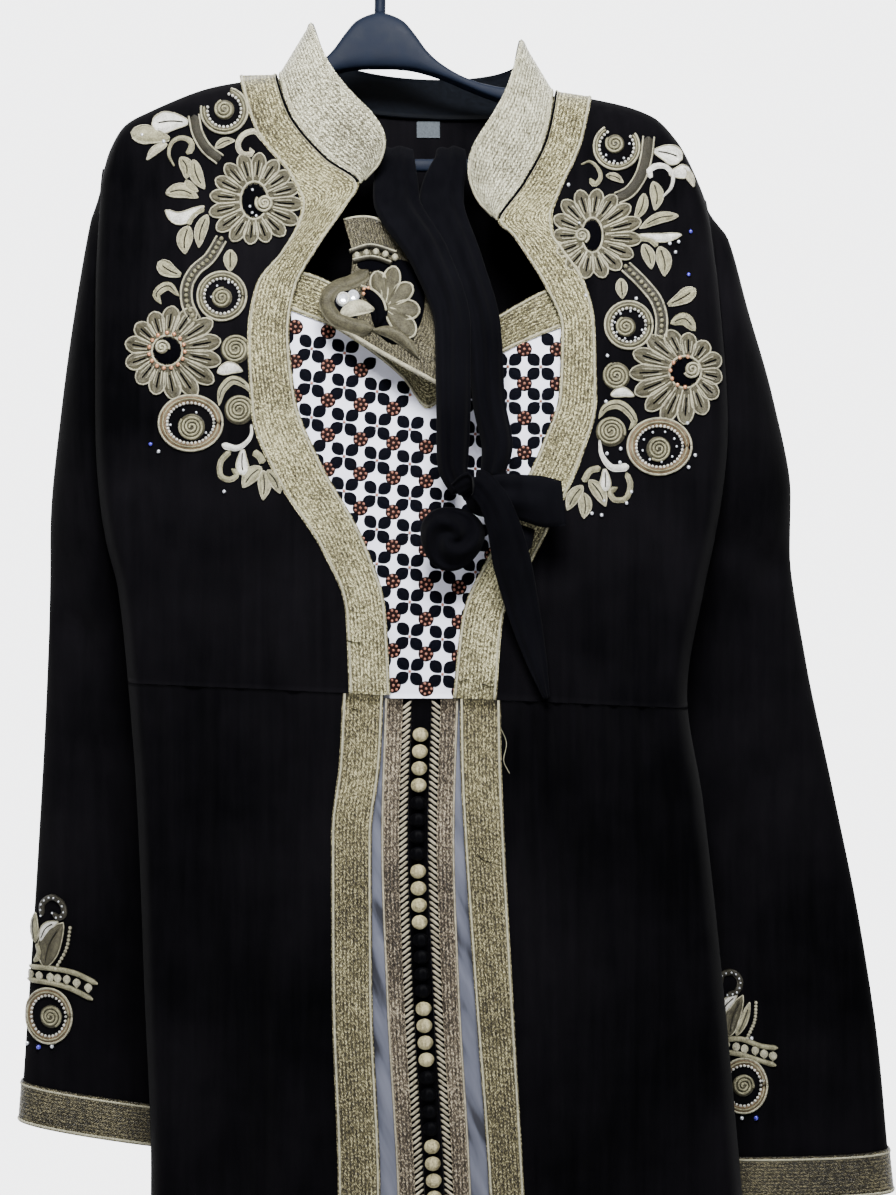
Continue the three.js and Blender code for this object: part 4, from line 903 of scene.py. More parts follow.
def add_back():
    tips = [outer_edge(s, 0)[0] for s in SIDES]
    neck = mix(NECK.left, NECK.right, (1 - np.cos(np.linspace(0, math.pi, 41))) / 2)
    left = mix(tips[0], NECK.left, crowded(34, 0.6))
    right = mix(NECK.right, tips[1], crowded(34, 0, 0.6))
    top = np.concatenate([left[:-1], neck, right[1:]])
    t = crowded(51, 0.5)[:, None]
    across, drop = back_layout(top[None], t)
    panel = Piece()
    shell(panel, place(across, drop, back_depth(across, drop) + troughs(BACK_CREASES, across, drop)),
          -CLOTH, 0)
    panel.make("back_bodice", CREPE, "crepe")
    share = (1 - np.cos(np.linspace(0, math.pi, 121))) / 2
    share = mix(share, np.linspace(0, 1, 121), 0.7)[None]
    t = crowded(61, 0.3)[:, None]
    sides = [skirt_side(s, t) for s in SIDES]
    across, drop = (mix(sides[0][i], sides[1][i], share) for i in (0, 1))
    panel = Piece()
    shell(panel, place(across, drop, back_depth(across, drop) + back_fold(share, t)), -CLOTH, 0)
    panel.make("back_skirt", CREPE, "crepe")


# ---------------------------------------------------------------- collar
COLLAR_LEAN = {
    "front": (0.77, 0.62, -0.1),  # inward, up, back
    "neck": (0.5, 0.86, 0.05),
    "back": (0.0, 0.74, 0.67),
}


def lean_between(start, end, t, sign):
    inward, up, back = (mix(np.array(COLLAR_LEAN[start])[i], COLLAR_LEAN[end][i], t) for i in range(3))
    lean = np.stack(np.broadcast_arrays(sign * inward, back, up), -1)
    return lean / np.linalg.norm(lean, axis=-1, keepdims=True)


def collar_grid(rises):
    feet, leans = [], []
    for side, sign in (("left", 1), ("right", -1)):
        index = np.linspace(0, 1, 40) * COLLAR_END
        across = BAND[side].in_across(index)
        drop = np.maximum(BAND[side].in_drop(index), shoulder(across))
        foot = place(across, drop, bodice_front(across, drop))
        lean = lean_between("neck", "front", index / COLLAR_END, sign)
        feet.append(foot)
        leans.append(lean)
    turn = np.linspace(0, math.pi, 50)[1:-1]
    t = (1 - np.cos(turn)) / 2
    across = mix(NECK.left, NECK.right, t)
    back_foot = place(across, back_neck(across), back_depth(across, back_neck(across)))
    to_back = np.sin(turn) ** 0.7
    side = np.clip((t - 0.5) * 6, -1, 1)
    back_lean = lean_between("neck", "back", to_back, -side)
    foot = np.concatenate([feet[0][::-1], back_foot, feet[1]])
    lean = np.concatenate([leans[0][::-1], back_lean, leans[1]])
    length = np.concatenate([[0], np.cumsum(np.linalg.norm(np.diff(foot, axis=0), axis=1))])
    from_end = np.minimum(length, length[-1] - length)
    height = mix(4, COLLAR_HEIGHT, quarter_round(from_end / COLLAR_END_ROUND))
    return foot[None] + lean[None] * (0.3 + rises[:, None] * height[None])[..., None]


COLLAR_LINING = SimpleNamespace(below=0.09, low=-2.6, high=-1.9)
# A black cord laid along the collar's foot stands in for the shadow line where the collar meets the band:
# painted shadow.
FOOT_SHADOW_CORD = SimpleNamespace(radius=0.75, aside=0.9, out=0.35)  # a dark line along the collar's foot


def add_collar():
    lining = Piece()
    grid = collar_grid(np.linspace(-COLLAR_LINING.below, 1, 10))
    shell(lining, grid, COLLAR_LINING.low, COLLAR_LINING.high, -1)
    lining.make("collar", LINING, "crepe")
    shares = braid_shares()
    braid = Piece()
    grid = collar_grid(shares)
    add_braid(braid, grid, shares, -0.3 - BRAID, -1, False, ribs=8)
    # Black cords along the collar's front feet: painted shadow between the collar and the band.
    for side in SIDES:
        index = np.linspace(0.02, COLLAR_END - 0.05, 60)
        across = BAND[side].in_across(index)
        drop = np.maximum(BAND[side].in_drop(index), shoulder(across))
        out = -LIFT - BRAID - FOOT_SHADOW_CORD.out
        foot = place(across, drop, bodice_front(across, drop)) + [SIDES[side] * FOOT_SHADOW_CORD.aside, out, 0]
        tube(braid, foot, FOOT_SHADOW_CORD.radius, 7, kind=2)
    # The collar braid carries painted highlight; its black foot cords (the third material) are painted
    # shadow.
    braid.make("collar_braid", [HIGHLIT_GOLD, PIPING, VELVET], "gold_braid")


# ---------------------------------------------------------------- sleeves
SLEEVE_FOLDS = {
    "left": {
        "front": [
            [-236, 400, -212, 500, 13, 5.0],
            [-240, 455, -205, 470, 12, 4.0],
            [-215, 520, -190, 640, 15, 5.0],
            [-237, 560, -222, 680, 11, -3.0],
            [-196, 640, -176, 760, 13, 3.5],
        ],
        "back": [
            [-232, 420, -200, 500, 13, 5.0],
            [-226, 520, -196, 650, 14, 4.5],
            [-205, 640, -180, 770, 14, -3.5],
        ],
    },
    "right": {
        "front": [
            [181, 400, 236, 432, 11, 5.5],
            [196, 425, 205, 545, 11, 6.0],
            [205, 540, 218, 650, 12, 5.0],
            [206, 470, 226, 560, 10, -4.0],
            [245, 560, 262, 690, 14, 4.0],
            [230, 640, 240, 760, 12, -3.0],
            [200, 660, 222, 790, 12, 3.5],
        ],
        "back": [
            [190, 430, 232, 470, 12, 5.0],
            [205, 500, 222, 640, 13, 5.0],
            [235, 600, 256, 760, 14, -4.0],
        ],
    },
}


# Where the sleeve is drawn in behind the body, under the armhole.
SLEEVE_TUCK = SimpleNamespace(drop=462.0, half=76.0, deep=19.0, back=6.0)


def sleeve_fold(side, face, index, across, drop, rise):
    """Folds pressed into one face of a sleeve, fading out at its two edges and at both ends."""
    fade = np.clip(rise * 2.2, 0, 1) * ease((index - 0.6) / 1.5)
    fade = fade * ease((SLEEVE[side].last - index + 0.4) / 1.2)
    return troughs(SLEEVE_FOLDS[side][face], across, drop) * fade


def sleeve_grid(side, index, turn):
    rows, sign = SLEEVE[side], SIDES[side]
    square = rows.square(index)
    cos, sin = np.cos(turn), np.sin(turn)
    cos, sin = rounded(cos, square), rounded(sin, square)
    out = (1 + cos) / 2
    drop = mix(rows.in_drop(index), rows.out_drop(index), out)
    hem = mix(rows.in_across(index), rows.out_across(index), out)
    tuck = bump((drop - SLEEVE_TUCK.drop) / SLEEVE_TUCK.half) * (1 - out) ** 2
    rim = body_side(side, drop) + sign * (0.3 + 0.4 * out)
    across = mix(rim, hem - sign * tuck * SLEEVE_TUCK.deep, np.clip(index, 0, 1))
    front = sleeve_fold(side, "front", index, across, drop, sin) * (sin > 0)
    back = sleeve_fold(side, "back", index, across, drop, -sin) * (sin < 0)
    depth = rows.back(index) + SLEEVE_TUCK.back * tuck - rows.deep(index) * sin
    return place(across, drop, depth + front - back)


ROW_DROP = 75.0  # about as far as from one row of a sleeve's table to the next


def sleeve_face(side, across, drop):
    """Depth of a sleeve's front at (across, drop), from the ring that passes through it."""
    rows = SLEEVE[side]
    across, drop = np.broadcast_arrays(np.asarray(across, float), drop)
    index = np.full(across.shape, float(rows.last))
    for _ in range(30):
        low, high = rows.in_across(index), rows.out_across(index)
        share = np.clip((across - low) / (high - low), 0, 1)
        missed = drop - mix(rows.in_drop(index), rows.out_drop(index), share)
        index = np.clip(index + missed / ROW_DROP, 0, rows.last)
    low, high = rows.in_across(index), rows.out_across(index)
    cos = np.clip(2 * (across - low) / (high - low) - 1, -1, 1)
    cos = np.abs(cos) ** (1 / rows.square(index))
    sin = np.sqrt(1 - cos * cos) ** rows.square(index)
    return rows.back(index) - rows.deep(index) * sin + sleeve_fold(side, "front", index, across, drop, sin)


def add_sleeve(side):
    outward = -1 if side == "left" else 1
    last = SLEEVE[side].last
    turn = (np.arange(72) * TURN / 72)[None]
    piece = Piece()
    shell(piece, sleeve_grid(side, np.linspace(0, last, 92)[:, None], turn), -CLOTH, 0, outward, closed=True)
    piece.make(f"sleeve_{side}", CREPE, "crepe")
    shares = braid_shares()
    grid = sleeve_grid(side, last - 1 + shares[:, None], (np.arange(84) * TURN / 84)[None])
    cuff = Piece()
    add_braid(cuff, grid, shares, LIFT, outward, False, True)
    # The cuffs wear the braid with deep painted shade.
    cuff.make(f"cuff_braid_{side}", [CUFF_SHADED_GOLD, PIPING], "gold_braid")


# ---------------------------------------------------------------- stitched ornament
def on_cloth(depth_at):
    """A ground for stitching: gives points at a height above the cloth at (across, drop)."""
    def face(across, drop, height):
        across, drop, height = np.broadcast_arrays(np.asarray(across, float), drop, height)
        step = 1.5
        slope_x = (depth_at(across + step, drop) - depth_at(across - step, drop)) / (2 * step)
        slope_d = (depth_at(across, drop + step) - depth_at(across, drop - step)) / (2 * step)
        normal = np.stack([slope_x, -np.ones_like(slope_x), -slope_d], -1)
        normal /= np.linalg.norm(normal, axis=-1, keepdims=True)
        return place(across, drop, depth_at(across, drop)) + normal * height[..., None]

    return face


def arc(centre, radius, start=0, end=360, tall=None, count=40):
    """Points of a circle's arc, or an ellipse's, in degrees clockwise from the right."""
    turn = np.radians(np.linspace(start, end, count))
    return np.stack([centre[0] + radius * np.cos(turn), centre[1] + (tall or radius) * np.sin(turn)], -1)


WIDEST = 0.62  # how far along a petal it is widest


def petal_width(t):
    tip = np.sqrt(np.maximum(0, 1 - ((t - WIDEST) / (1 - WIDEST)) ** 2))
    return np.where(t < WIDEST, 0.16 + 0.84 * (t / WIDEST) ** 0.75, tip)


# How wide each form of stroke is along it, as a share of its full width.
WIDTHS = {
    "leaf": lambda t: np.sin(math.pi * t ** 0.85) ** 0.8,
    "petal": petal_width,
    "cord": lambda t: np.minimum(1, 12 * np.minimum(t, 1 - t) + 0.3),
    "almond": lambda t: np.sin(math.pi * t ** 1.05) ** 0.65,
    "curl": lambda t: (1 - 0.72 * t) * np.minimum(1, 9 * t + 0.4),
    "crescent": lambda t: np.sin(math.pi * t) ** 0.6,
}
PAD = SimpleNamespace(base=0.15, rise=1.25)


def stroke(piece, face, kind, path, width, form, vein=0.0, base=PAD.base, rise=PAD.rise,
           cells=(17, 7)):
    """Padded satin stitch along a path of (across, drop) points: a dome of the given form and vein."""
    line = spline(path, cells[0])
    t = np.linspace(0, 1, cells[0])
    s = np.linspace(-1, 1, cells[1])
    half = np.maximum(width / 2 * WIDTHS[form](t), 0.12)[:, None]
    flat = line[:, None] + beside(line)[:, None] * (half * s)[..., None]
    dome = np.sqrt(np.maximum(0, 1 - s * s))[None] * np.minimum(1, half / (width * 0.25)) ** 0.5
    height = base + 0.25 + rise * dome - vein * bump(s / 0.2)[None] * (half > 0.5)
    top = face(flat[..., 0], flat[..., 1], height)
    bottom = face(flat[..., 0], flat[..., 1], base)
    length = np.concatenate([[0], np.cumsum(np.linalg.norm(np.diff(line, axis=0), axis=1))])
    between(piece, top, bottom, False, np.stack(np.broadcast_arrays(half * s, length[:, None]), -1), kind)


CORD_SIDES = 5


def cord_on(piece, face, kind, path, radius, height, closed=False):
    path = np.asarray(path, float)
    tube(piece, face(path[:, 0], path[:, 1], height), radius, CORD_SIDES, closed, kind=kind)


def beads_on(piece, face, kind, points, radius, height):
    for across, drop in points:
        ball(piece, face(across, drop, height), radius, kind)


def pad(piece, face, kind, centre, radius, tall=None, base=PAD.base, rise=0.9, sides=26):
    """A low round dome."""
    share = np.linspace(0, 1, 6)[1:, None]
    turn = (np.arange(sides) * TURN / sides)[None]
    x, d = centre[0] + radius * share * np.cos(turn), centre[1] + (tall or radius) * share * np.sin(turn)
    top = face(x, d, base + 0.25 + rise * np.sqrt(np.maximum(0, 1 - share ** 2)))
    flat = np.stack(np.broadcast_arrays(turn * radius * 0.5, share * radius), -1)
    loft(piece, np.concatenate([face(x, d, base), top[::-1]]), np.concatenate([flat, flat[::-1]]), kind)


# From one turn of a wound cord, scallop, blob or bead of a crown to the next.
PITCH = SimpleNamespace(wound=2.3, scallop=2.3, blob=3.1, grain_light_and_shade=4.0)


def disc(piece, face, centre, radius, ground=DUSK, cord=IVORY, height=0.0):
    """A round pad with a cord wound on it from the middle out."""
    pad(piece, face, ground, centre, radius, base=PAD.base, rise=height + 0.9)
    turns = radius / PITCH.wound
    share = np.linspace(0.12, 1, int(26 * turns))
    turn = TURN * turns * share
    path = np.stack([centre[0] + radius * 0.94 * share * np.cos(turn),
                     centre[1] + radius * 0.94 * share * np.sin(turn)], -1)
    cord_on(piece, face, cord, path, 0.85, height + 0.7 + 0.8 * np.sqrt(1 - share ** 2 * 0.9))


def ring(piece, face, centre, outer, inner, start=0, end=360, *, core, tall=None, ground=DUSK, beads=()):
    """A padded ring or horseshoe with a corded outer edge, a scalloped inner one and a wound disc in it."""
    tall = tall or outer
    mid, width = (outer + inner) / 2, outer - inner
    stretch = tall / outer
    around = arc(centre, mid, start, end, mid * stretch, 60)
    stroke(piece, face, ground, around, width * 0.94, "cord", cells=(60, 7))
    cord_on(piece, face, CORD, arc(centre, outer - 0.5, start, end, (outer - 0.5) * stretch, 60), 0.75, 1.1)
    cord_on(piece, face, IVORY, arc(centre, mid, start + 2, end - 2, mid * stretch, 60), 0.5, 1.75)
    count = int(abs(end - start) / 360 * TURN * inner / PITCH.scallop)
    scallops = arc(centre, inner + 0.5, start, end, (inner + 0.5) * stretch, count)
    beads_on(piece, face, WHITE, scallops, 0.95, 1.0)
    disc(piece, face, *core)
    beads_on(piece, face, GLASS, beads, 0.8, 0.8)


def petal_line(root, tip, width, count):
    """Points down a petal's middle, clear of its two ends, and its half width at each."""
    t = np.linspace(0.1, 0.995, count)
    return root + (tip - root) * t[:, None], width / 2 * WIDTHS["petal"](t)


def flower(piece, face, centre, radius, petals, eye, eye_at, start, knot, beads=(), grain_light_and_shade=None):
    """Petals round a dark velvet eye. Each is a ribbed pad with a vein and a pale corded rim."""
    heart = np.array(centre) + eye_at
    for number in range(petals):
        turn = start + TURN * number / petals
        wobble = 1 + 0.045 * math.sin(5.1 * number + centre[0])
        way = np.array([math.cos(turn), math.sin(turn)])
        tip = np.array(centre) + way * radius * wobble
        root = heart + way * eye * 0.8
        width = TURN * radius / petals * 0.8
        stroke(piece, face, DUSK, [root, mix(root, tip, 0.5), tip], width, "petal", vein=0.75, cells=(16, 9))
        line, half = petal_line(root, tip, width, 13)
        cord_on(piece, face, CORD, rim_of(line, half), 0.55, 0.95)
        for lean in (-0.42, 0.42):
            vein = line[2:9] + beside(line)[2:9] * half[2:9, None] * lean
            cord_on(piece, face, CORD, vein, 0.4, 1.75)
        cord_on(piece, face, BLACK, line[3:10], 0.5, 1.35)
    pad(piece, face, BLACK, heart, eye[0], eye[1], rise=1.5)
    rim = arc(heart, eye[0], tall=eye[1], count=31)[:-1]
    cord_on(piece, face, CORD, rim, 0.8, 1.2, closed=True)
    disc(piece, face, *knot, IVORY, CORD, height=1.6)
    if grain_light_and_shade:
        count = int((grain_light_and_shade[2] - grain_light_and_shade[1]) / 360 * TURN * grain_light_and_shade[0] / PITCH.grain_light_and_shade)
        beads_on(piece, face, RED, arc(heart, grain_light_and_shade[0], grain_light_and_shade[1], grain_light_and_shade[2], count=count), 1.35, 2.4)
    beads_on(piece, face, GLASS, beads, 0.9, 2.3)


def beaded_stem(piece, face, path, width):
    """A stem of two cords with pale blobs between them."""
    stroke(piece, face, DARK, path, width, "cord", rise=0.5, cells=(30, 5))
    line = spline(path, 60)
    for sign in (-1, 1):
        cord_on(piece, face, CORD, line + beside(line) * sign * width * 0.42, 0.7, 1.0)
    length = np.linalg.norm(np.diff(line, axis=0), axis=1).sum()
    beads_on(piece, face, IVORY, spline(path, int(length / PITCH.blob)), 1.4, 1.1)


def dark_stem(piece, face, path, width):
    """A dark satin stem between two pale cords."""
    stroke(piece, face, DARK, path, width, "cord", rise=0.9, cells=(30, 7))
    line = spline(path, 40)
    for sign in (-1, 1):
        cord_on(piece, face, CORD, line + beside(line) * sign * width * 0.46, 0.6, 0.95)


# ---------------------------------------------------------------- bust panel
BUST_TOP = columns("share drop braid", [
    [0, 238, 25], [0.14, 245, 27], [0.3, 262, 27], [0.42, 283, 25], [0.5, 299, 28],
    [0.58, 292, 24], [0.72, 272, 24], [0.86, 259, 24], [1, 249, 24],
], by="share")
BUST = SimpleNamespace(under=10.0, out=-3.4, sag=4.0)


def opening_edge(side):
    """How far across the opening's edge stands at each drop, from the rows where it only falls."""
    rows = BAND[side].rows[6:]
    return smooth_line(rows[:, 1], rows[:, 0])


OPENING = {side: opening_edge(side) for side in SIDES}


def bust_share(share, drop):
    return mix(OPENING["left"](drop) - BUST.under, OPENING["right"](drop) + BUST.under, share)


def bust_depth(across, drop):
    left, right = OPENING["left"](drop) - BUST.under, OPENING["right"](drop) + BUST.under
    share = np.clip((across - left) / (right - left), 0, 1)
    slack = BUST.sag * np.sin(math.pi * share) * ease((470 - drop) / 160)
    return front_depth(across, drop) + slack


def add_bust():
    share = np.linspace(0, 1, 60)[None]
    t = np.concatenate([np.linspace(0, 1, 14), np.linspace(1, 2, 60)[1:]])[:, None]
    top, braid = BUST_TOP.drop(share), BUST_TOP.braid(share)
    drop = np.where(t <= 1, top + braid * t, mix(top + braid, WAIST + 1, t - 1))
    across = bust_share(share, drop)
    panel = Piece()
    shell(panel, place(across, drop, bust_depth(across, drop)), BUST.out - 1, BUST.out, -1)
    panel.make("bust_panel", PRINT, "printed_cloth")
    shares = braid_shares()
    share = np.linspace(0, 1, 60)
    drop = BUST_TOP.drop(share)[None] + BUST_TOP.braid(share)[None] * shares[:, None]
    across = bust_share(share[None], drop)
    grid = place(across, drop, bust_depth(across, drop))
    trim = Piece()
    add_braid(trim, grid, shares, BUST.out + 0.3, -1, False)
    trim.make("bust_braid", [GOLD, PIPING], "gold_braid")


# The print repeats: four padded petals in an X, and round clusters of beads between them.
PRINT_STEP = SimpleNamespace(across=20.2, drop=21.4, first=(-89.2, 265.6), rise=14.0, span=8.0)
PETAL = SimpleNamespace(reach=11.0, hollow=1.2, width=7.8, rise=0.55, lean=8.0)
CLUSTER = SimpleNamespace(radius=4.8, beads=7, bead=0.85)


def print_place(column, row):
    """The middle of a four-petal flower. The rows climb to the left and crowd a little at the right."""
    sag = PRINT_STEP.rise * math.sin(math.pi / 2 * min(1, column / PRINT_STEP.span))
    return PRINT_STEP.first[0] + PRINT_STEP.across * column, PRINT_STEP.first[1] + PRINT_STEP.drop * row + sag


def in_opening(across, drop, spare):
    inside = OPENING["left"](drop) - spare < across < OPENING["right"](drop) + spare
    share = (across - bust_share(0, drop)) / (bust_share(1, drop) - bust_share(0, drop))
    top = BUST_TOP.drop(share) + BUST_TOP.braid(share)
    return inside and top + 3 < drop < WAIST - 3


def add_print():
    piece = Piece()
    face = on_cloth(bust_depth)
    ground = BUST.out - 0.15
    for row in range(13):
        for column in range(10):
            x, d = print_place(column, row)
            for lean in PETAL.lean * (1 - column / 9) + np.array([45, 135, 225, 315]):
                way = np.array([math.cos(math.radians(lean)), math.sin(math.radians(lean))])
                root, tip = np.array([x, d]) + way * PETAL.hollow, np.array([x, d]) + way * PETAL.reach
                if in_opening(*mix(root, tip, 0.5), 5):
                    path = [root, mix(root, tip, 0.5), tip]
                    stroke(piece, face, 0, path, PETAL.width, "almond", 0, ground, PETAL.rise, (9, 5))
            if in_opening(x, d, 8):
                beads_on(piece, face, 2, [(x, d)], 1.0, ground + 0.5)
            x, d = x + PRINT_STEP.across / 2, d + PRINT_STEP.drop / 2
            if in_opening(x, d, 6):
                pad(piece, face, 1, (x, d), CLUSTER.radius, base=ground, rise=0.5, sides=16)
                beads_on(piece, face, 2, arc((x, d), CLUSTER.radius * 0.68, 0, 308, count=CLUSTER.beads),
                         CLUSTER.bead, ground + 1)
                beads_on(piece, face, 2, [(x, d)], CLUSTER.bead, ground + 1.1)
    piece.make("bust_print", [PRINT_BLACK, MAROON, CORAL], "printed_cloth", stands_in=False)


# ---------------------------------------------------------------- underskirt, placket and buttons
UNDER = SimpleNamespace(half=62.0, out=-2.1)
STRIP_FACE = UNDER.out + 1.1


def placket_grid(drop, offset):
    across = PLACKET.centre(drop) + offset
    return place(across, drop, front_depth(across, drop))


SATIN_CREASES = [  # across, drop to across, drop, half width, depth
    [-42, 596, -26, 628, 3.0, 2.0],
    [-40, 640, -24, 655, 2.4, 1.6],
    [-42, 668, -23, 704, 2.6, 2.2],
    [-36, 700, -29, 790, 3.2, 2.4],
    [-44, 800, -26, 826, 2.4, 1.8],
    [-40, 850, -34, 1010, 4.0, 2.2],
    [-46, 1060, -30, 1110, 3.4, 2.4],
    [-38, 1150, -42, 1400, 4.5, 2.6],
    [24, 604, 29, 700, 3.0, 2.2],
    [22, 690, 38, 738, 2.6, 2.2],
    [27, 752, 34, 860, 3.2, 2.6],
    [30, 880, 46, 930, 3.0, 2.2],
    [36, 980, 41, 1200, 4.2, 2.4],
    [38, 1240, 50, 1310, 3.6, 2.2],
]


def add_underskirt():
    drop = mix(WAIST + 1.2, HEM - 4, np.linspace(0, 1, 96))[:, None]
    satin = Piece()
    fine = mix(WAIST + 1.2, HEM - 4, np.linspace(0, 1, 140))[:, None]
    across = PLACKET.centre(fine) + np.linspace(-UNDER.half, UNDER.half, 48)[None]
    grid = place(across, fine, front_depth(across, fine) + troughs(SATIN_CREASES, across, fine))
    shell(satin, grid, UNDER.out - 1, UNDER.out, -1)
    satin.make("underskirt_front", SATIN, "satin")
    strip = Piece()
    gap = 0.05
    shell(strip, placket_grid(drop, np.linspace(-STRIP_HALF + gap, STRIP_HALF - gap, 9)[None]),
          UNDER.out + 0.2, STRIP_FACE, -1)
    strip.make("placket_strip", CREPE, "crepe")
    for side in SIDES:
        add_placket_braid(side, drop)


# Of each braid's width the inner third is slanting cords, the rest three speckled ribs and a corded edge.
WEAVE = SimpleNamespace(cords=5.6, pitch=3.5, cord=1.9, slant=4.4, ribs=3, rib=0.55, edge=0.7)


def add_placket_braid(side, drop):
    sign = SIDES[side]
    braid = Piece()
    offset = np.linspace(STRIP_HALF + 0.05, STRIP_HALF + BRAID_WIDTH, 37)
    share = np.clip((offset - STRIP_HALF - WEAVE.cords) / (BRAID_WIDTH - WEAVE.cords - 1), 0, 1)
    ribbed = WEAVE.rib * np.abs(np.sin(math.pi * WEAVE.ribs * share)) ** 0.6
    height = UNDER.out + 0.75 + ribbed
    shell(braid, placket_grid(drop, sign * offset[None]), UNDER.out + 0.2, height[None], -sign)
    ground = placket_grid(drop, sign * np.linspace(STRIP_HALF + 0.1, STRIP_HALF + WEAVE.cords, 8)[None])
    shell(braid, ground, UNDER.out + 0.7, UNDER.out + 0.9, -sign, kind=2)
    path = placket_grid(drop[:, 0], sign * (STRIP_HALF + BRAID_WIDTH - WEAVE.edge)) - [0, UNDER.out + 1.0, 0]
    tube(braid, path, WEAVE.edge, 6, kind=1)
    face = on_cloth(front_depth)
    for number in range(int((HEM - WAIST - 12) / WEAVE.pitch)):
        low = WAIST + 5 + WEAVE.pitch * number
        centre = float(PLACKET.centre(low))
        near, far = centre + sign * (STRIP_HALF + 0.3), centre + sign * (STRIP_HALF + WEAVE.cords)
        path = [(near, low - WEAVE.slant / 2), (mix(near, far, 0.5), low), (far, low + WEAVE.slant / 2)]
        stroke(braid, face, 1, path, WEAVE.cord, "cord", 0, UNDER.out + 0.5, 0.9, (6, 5))
    braid.make(f"placket_braid_{side}", [SPECKLE, HERRINGBONE, VELVET], "herringbone_braid")


# Drop of the first button, from one to the next, and from one four to the next.
BUTTON = SimpleNamespace(
    first=528.0, pitch=10.3, four=41.75, groups=21,
    half_wide=5.0, half_deep=4.08, half_tall=4.3, folds=6, fold=0.4,
)


def add_ball(piece, centre, radius):
    """A ball button whose folds run from pole to pole, with the poles up and down."""
    lat = np.linspace(0.04, 0.96, 10) * math.pi
    lon = np.arange(24) * TURN / 24
    fold = np.abs(np.sin(BUTTON.folds / 2 * lon[None] + 0.5 * lat[:, None])) ** 0.55
    groove = 1 - BUTTON.fold * (1 - fold) * np.sin(lat)[:, None]
    ring = np.stack(np.broadcast_arrays(
        np.sin(lat)[:, None] * np.cos(lon) * groove,
        np.sin(lat)[:, None] * np.sin(lon) * groove,
        -np.cos(lat)[:, None]), -1)
    loft(piece, np.asarray(centre) + ring * radius)


def add_buttons():
    radius = np.array([BUTTON.half_wide, BUTTON.half_deep, BUTTON.half_tall])
    for group in range(BUTTON.groups):
        colour = "black" if group % 2 else "gold"
        piece = Piece()
        for ball_number in range(4):
            drop = BUTTON.first + BUTTON.four * group + BUTTON.pitch * ball_number
            across = float(PLACKET.centre(drop))
            depth = float(front_depth(across, drop)) - STRIP_FACE - 0.3 - BUTTON.half_deep
            add_ball(piece, (across + SLIP, depth, -drop), radius)
        finish = BUTTON_BLACK if group % 2 else BUTTON_GOLD
        piece.make(f"buttons_{colour}_{group // 2 + 1}", finish, f"{colour}_buttons")


# ---------------------------------------------------------------- belt
BAND_CELLS = SimpleNamespace(round=64, long=80)


def cloth_band(rows, pleats, pleat_deep):
    """A soft band of cloth through table rows; its section is an ellipse with lengthwise pleats."""
    line = columns("across drop depth wide thick", rows)
    t = np.linspace(0, line.last, BAND_CELLS.long)
    path = place(line.across(t), line.drop(t), line.depth(t))
    along = np.gradient(path, axis=0)
    along /= np.linalg.norm(along, axis=1, keepdims=True)
    wide_way = np.array([1.0, 0, 0]) - along * along[:, :1]
    wide_way /= np.linalg.norm(wide_way, axis=1, keepdims=True)
    thick_way = np.cross(along, wide_way)
    turn = np.arange(BAND_CELLS.round) * TURN / BAND_CELLS.round
    drift = 0.5 * np.sin(t * 0.9)[:, None]
    fine = 0.4 * np.cos(9 * turn[None] - 2 * drift)
    pleat = 1 + pleat_deep * (np.cos(pleats * turn[None] + drift) + fine)
    return (path[:, None] + wide_way[:, None] * (line.wide(t)[:, None] / 2 * np.cos(turn)[None])[..., None]
            + thick_way[:, None] * (line.thick(t)[:, None] / 2 * np.sin(turn)[None] * pleat)[..., None])


TIE = {
    "left": [
        [-17, 232, 15, 20, 4], [-18, 196, 12, 22, 4], [-18, 167, 8.5, 22, 4], [-18, 160, 0, 22, 4],
        [-18, 167, -8.5, 24, 5], [-17, 196, -25, 29, 8], [4, 236, -47, 25, 11], [18, 280, -57, 22, 12],
        [18.5, 325, -60, 21, 12], [18, 362, -61, 19, 12], [23.1, 380.4, -62, 12, 10],
    ],
    "right": [
        [17, 228, 15, 16, 4], [17, 196, 12, 18, 4], [17, 167, 8.5, 18, 4], [17, 160, 0, 18, 4],
        [17, 167, -8.5, 20, 5], [11, 196, -21, 28, 7], [24, 236, -42, 24, 9], [37, 280, -52, 21, 11],
        [40, 325, -57, 20, 11], [45, 352, -60, 19, 11], [41.5, 370.7, -61, 14, 9],
    ],
}
TAIL = [
    [21, 380, -70, 13, 4.5], [31, 375, -74.5, 17, 5], [41, 384, -75, 18, 5.5], [48, 400, -73, 20, 5.5],
    [54, 424, -65, 23, 5.5], [61, 452, -54, 20, 5], [69, 482, -50, 13, 4.5], [75.5, 506, -49.5, 4, 3.5],
]
LOOP = SimpleNamespace(
    top=[(36, 372), (46, 369.5), (59, 370), (73, 371), (83.5, 374)],
    low=[(38, 391), (48, 395), (60, 398), (74, 402), (86.5, 400.5)],
    depth=-64.0, deep=9.0, thick=6.0,
)
LOBE = SimpleNamespace(
    top=[(44, 391), (52, 397), (60, 400), (68, 403)],
    low=[(46, 403), (52, 412), (60, 419), (66, 414)],
    depth=-57.0, deep=5.0, thick=6.0,
)
KNOT = SimpleNamespace(across=38, drop=383, depth=-62, wide=12.5, tall=12.5, deep=9.5, folds=4, fold=0.08)
ROSETTE = SimpleNamespace(
    across=17.5, drop=408.0, depth=-60.5, radius=19.5, deep=11.5, arms=2, wind=7.5, fold=2.6,
)
BELT_PANEL = columns("row left_across left_drop left_depth right_across right_drop right_depth bow", [
    [0, -50, 208, -20, 9, 262, -45, -20],
    [1, -44, 233, -29, 12, 277, -50.5, -12],
    [2, -46, 252, -38, 13, 288, -53, -6],
    [3, -54, 264, -46, 12, 299, -54, 0],
    [4, -54, 277, -48, 10, 314, -53.5, 1],
])


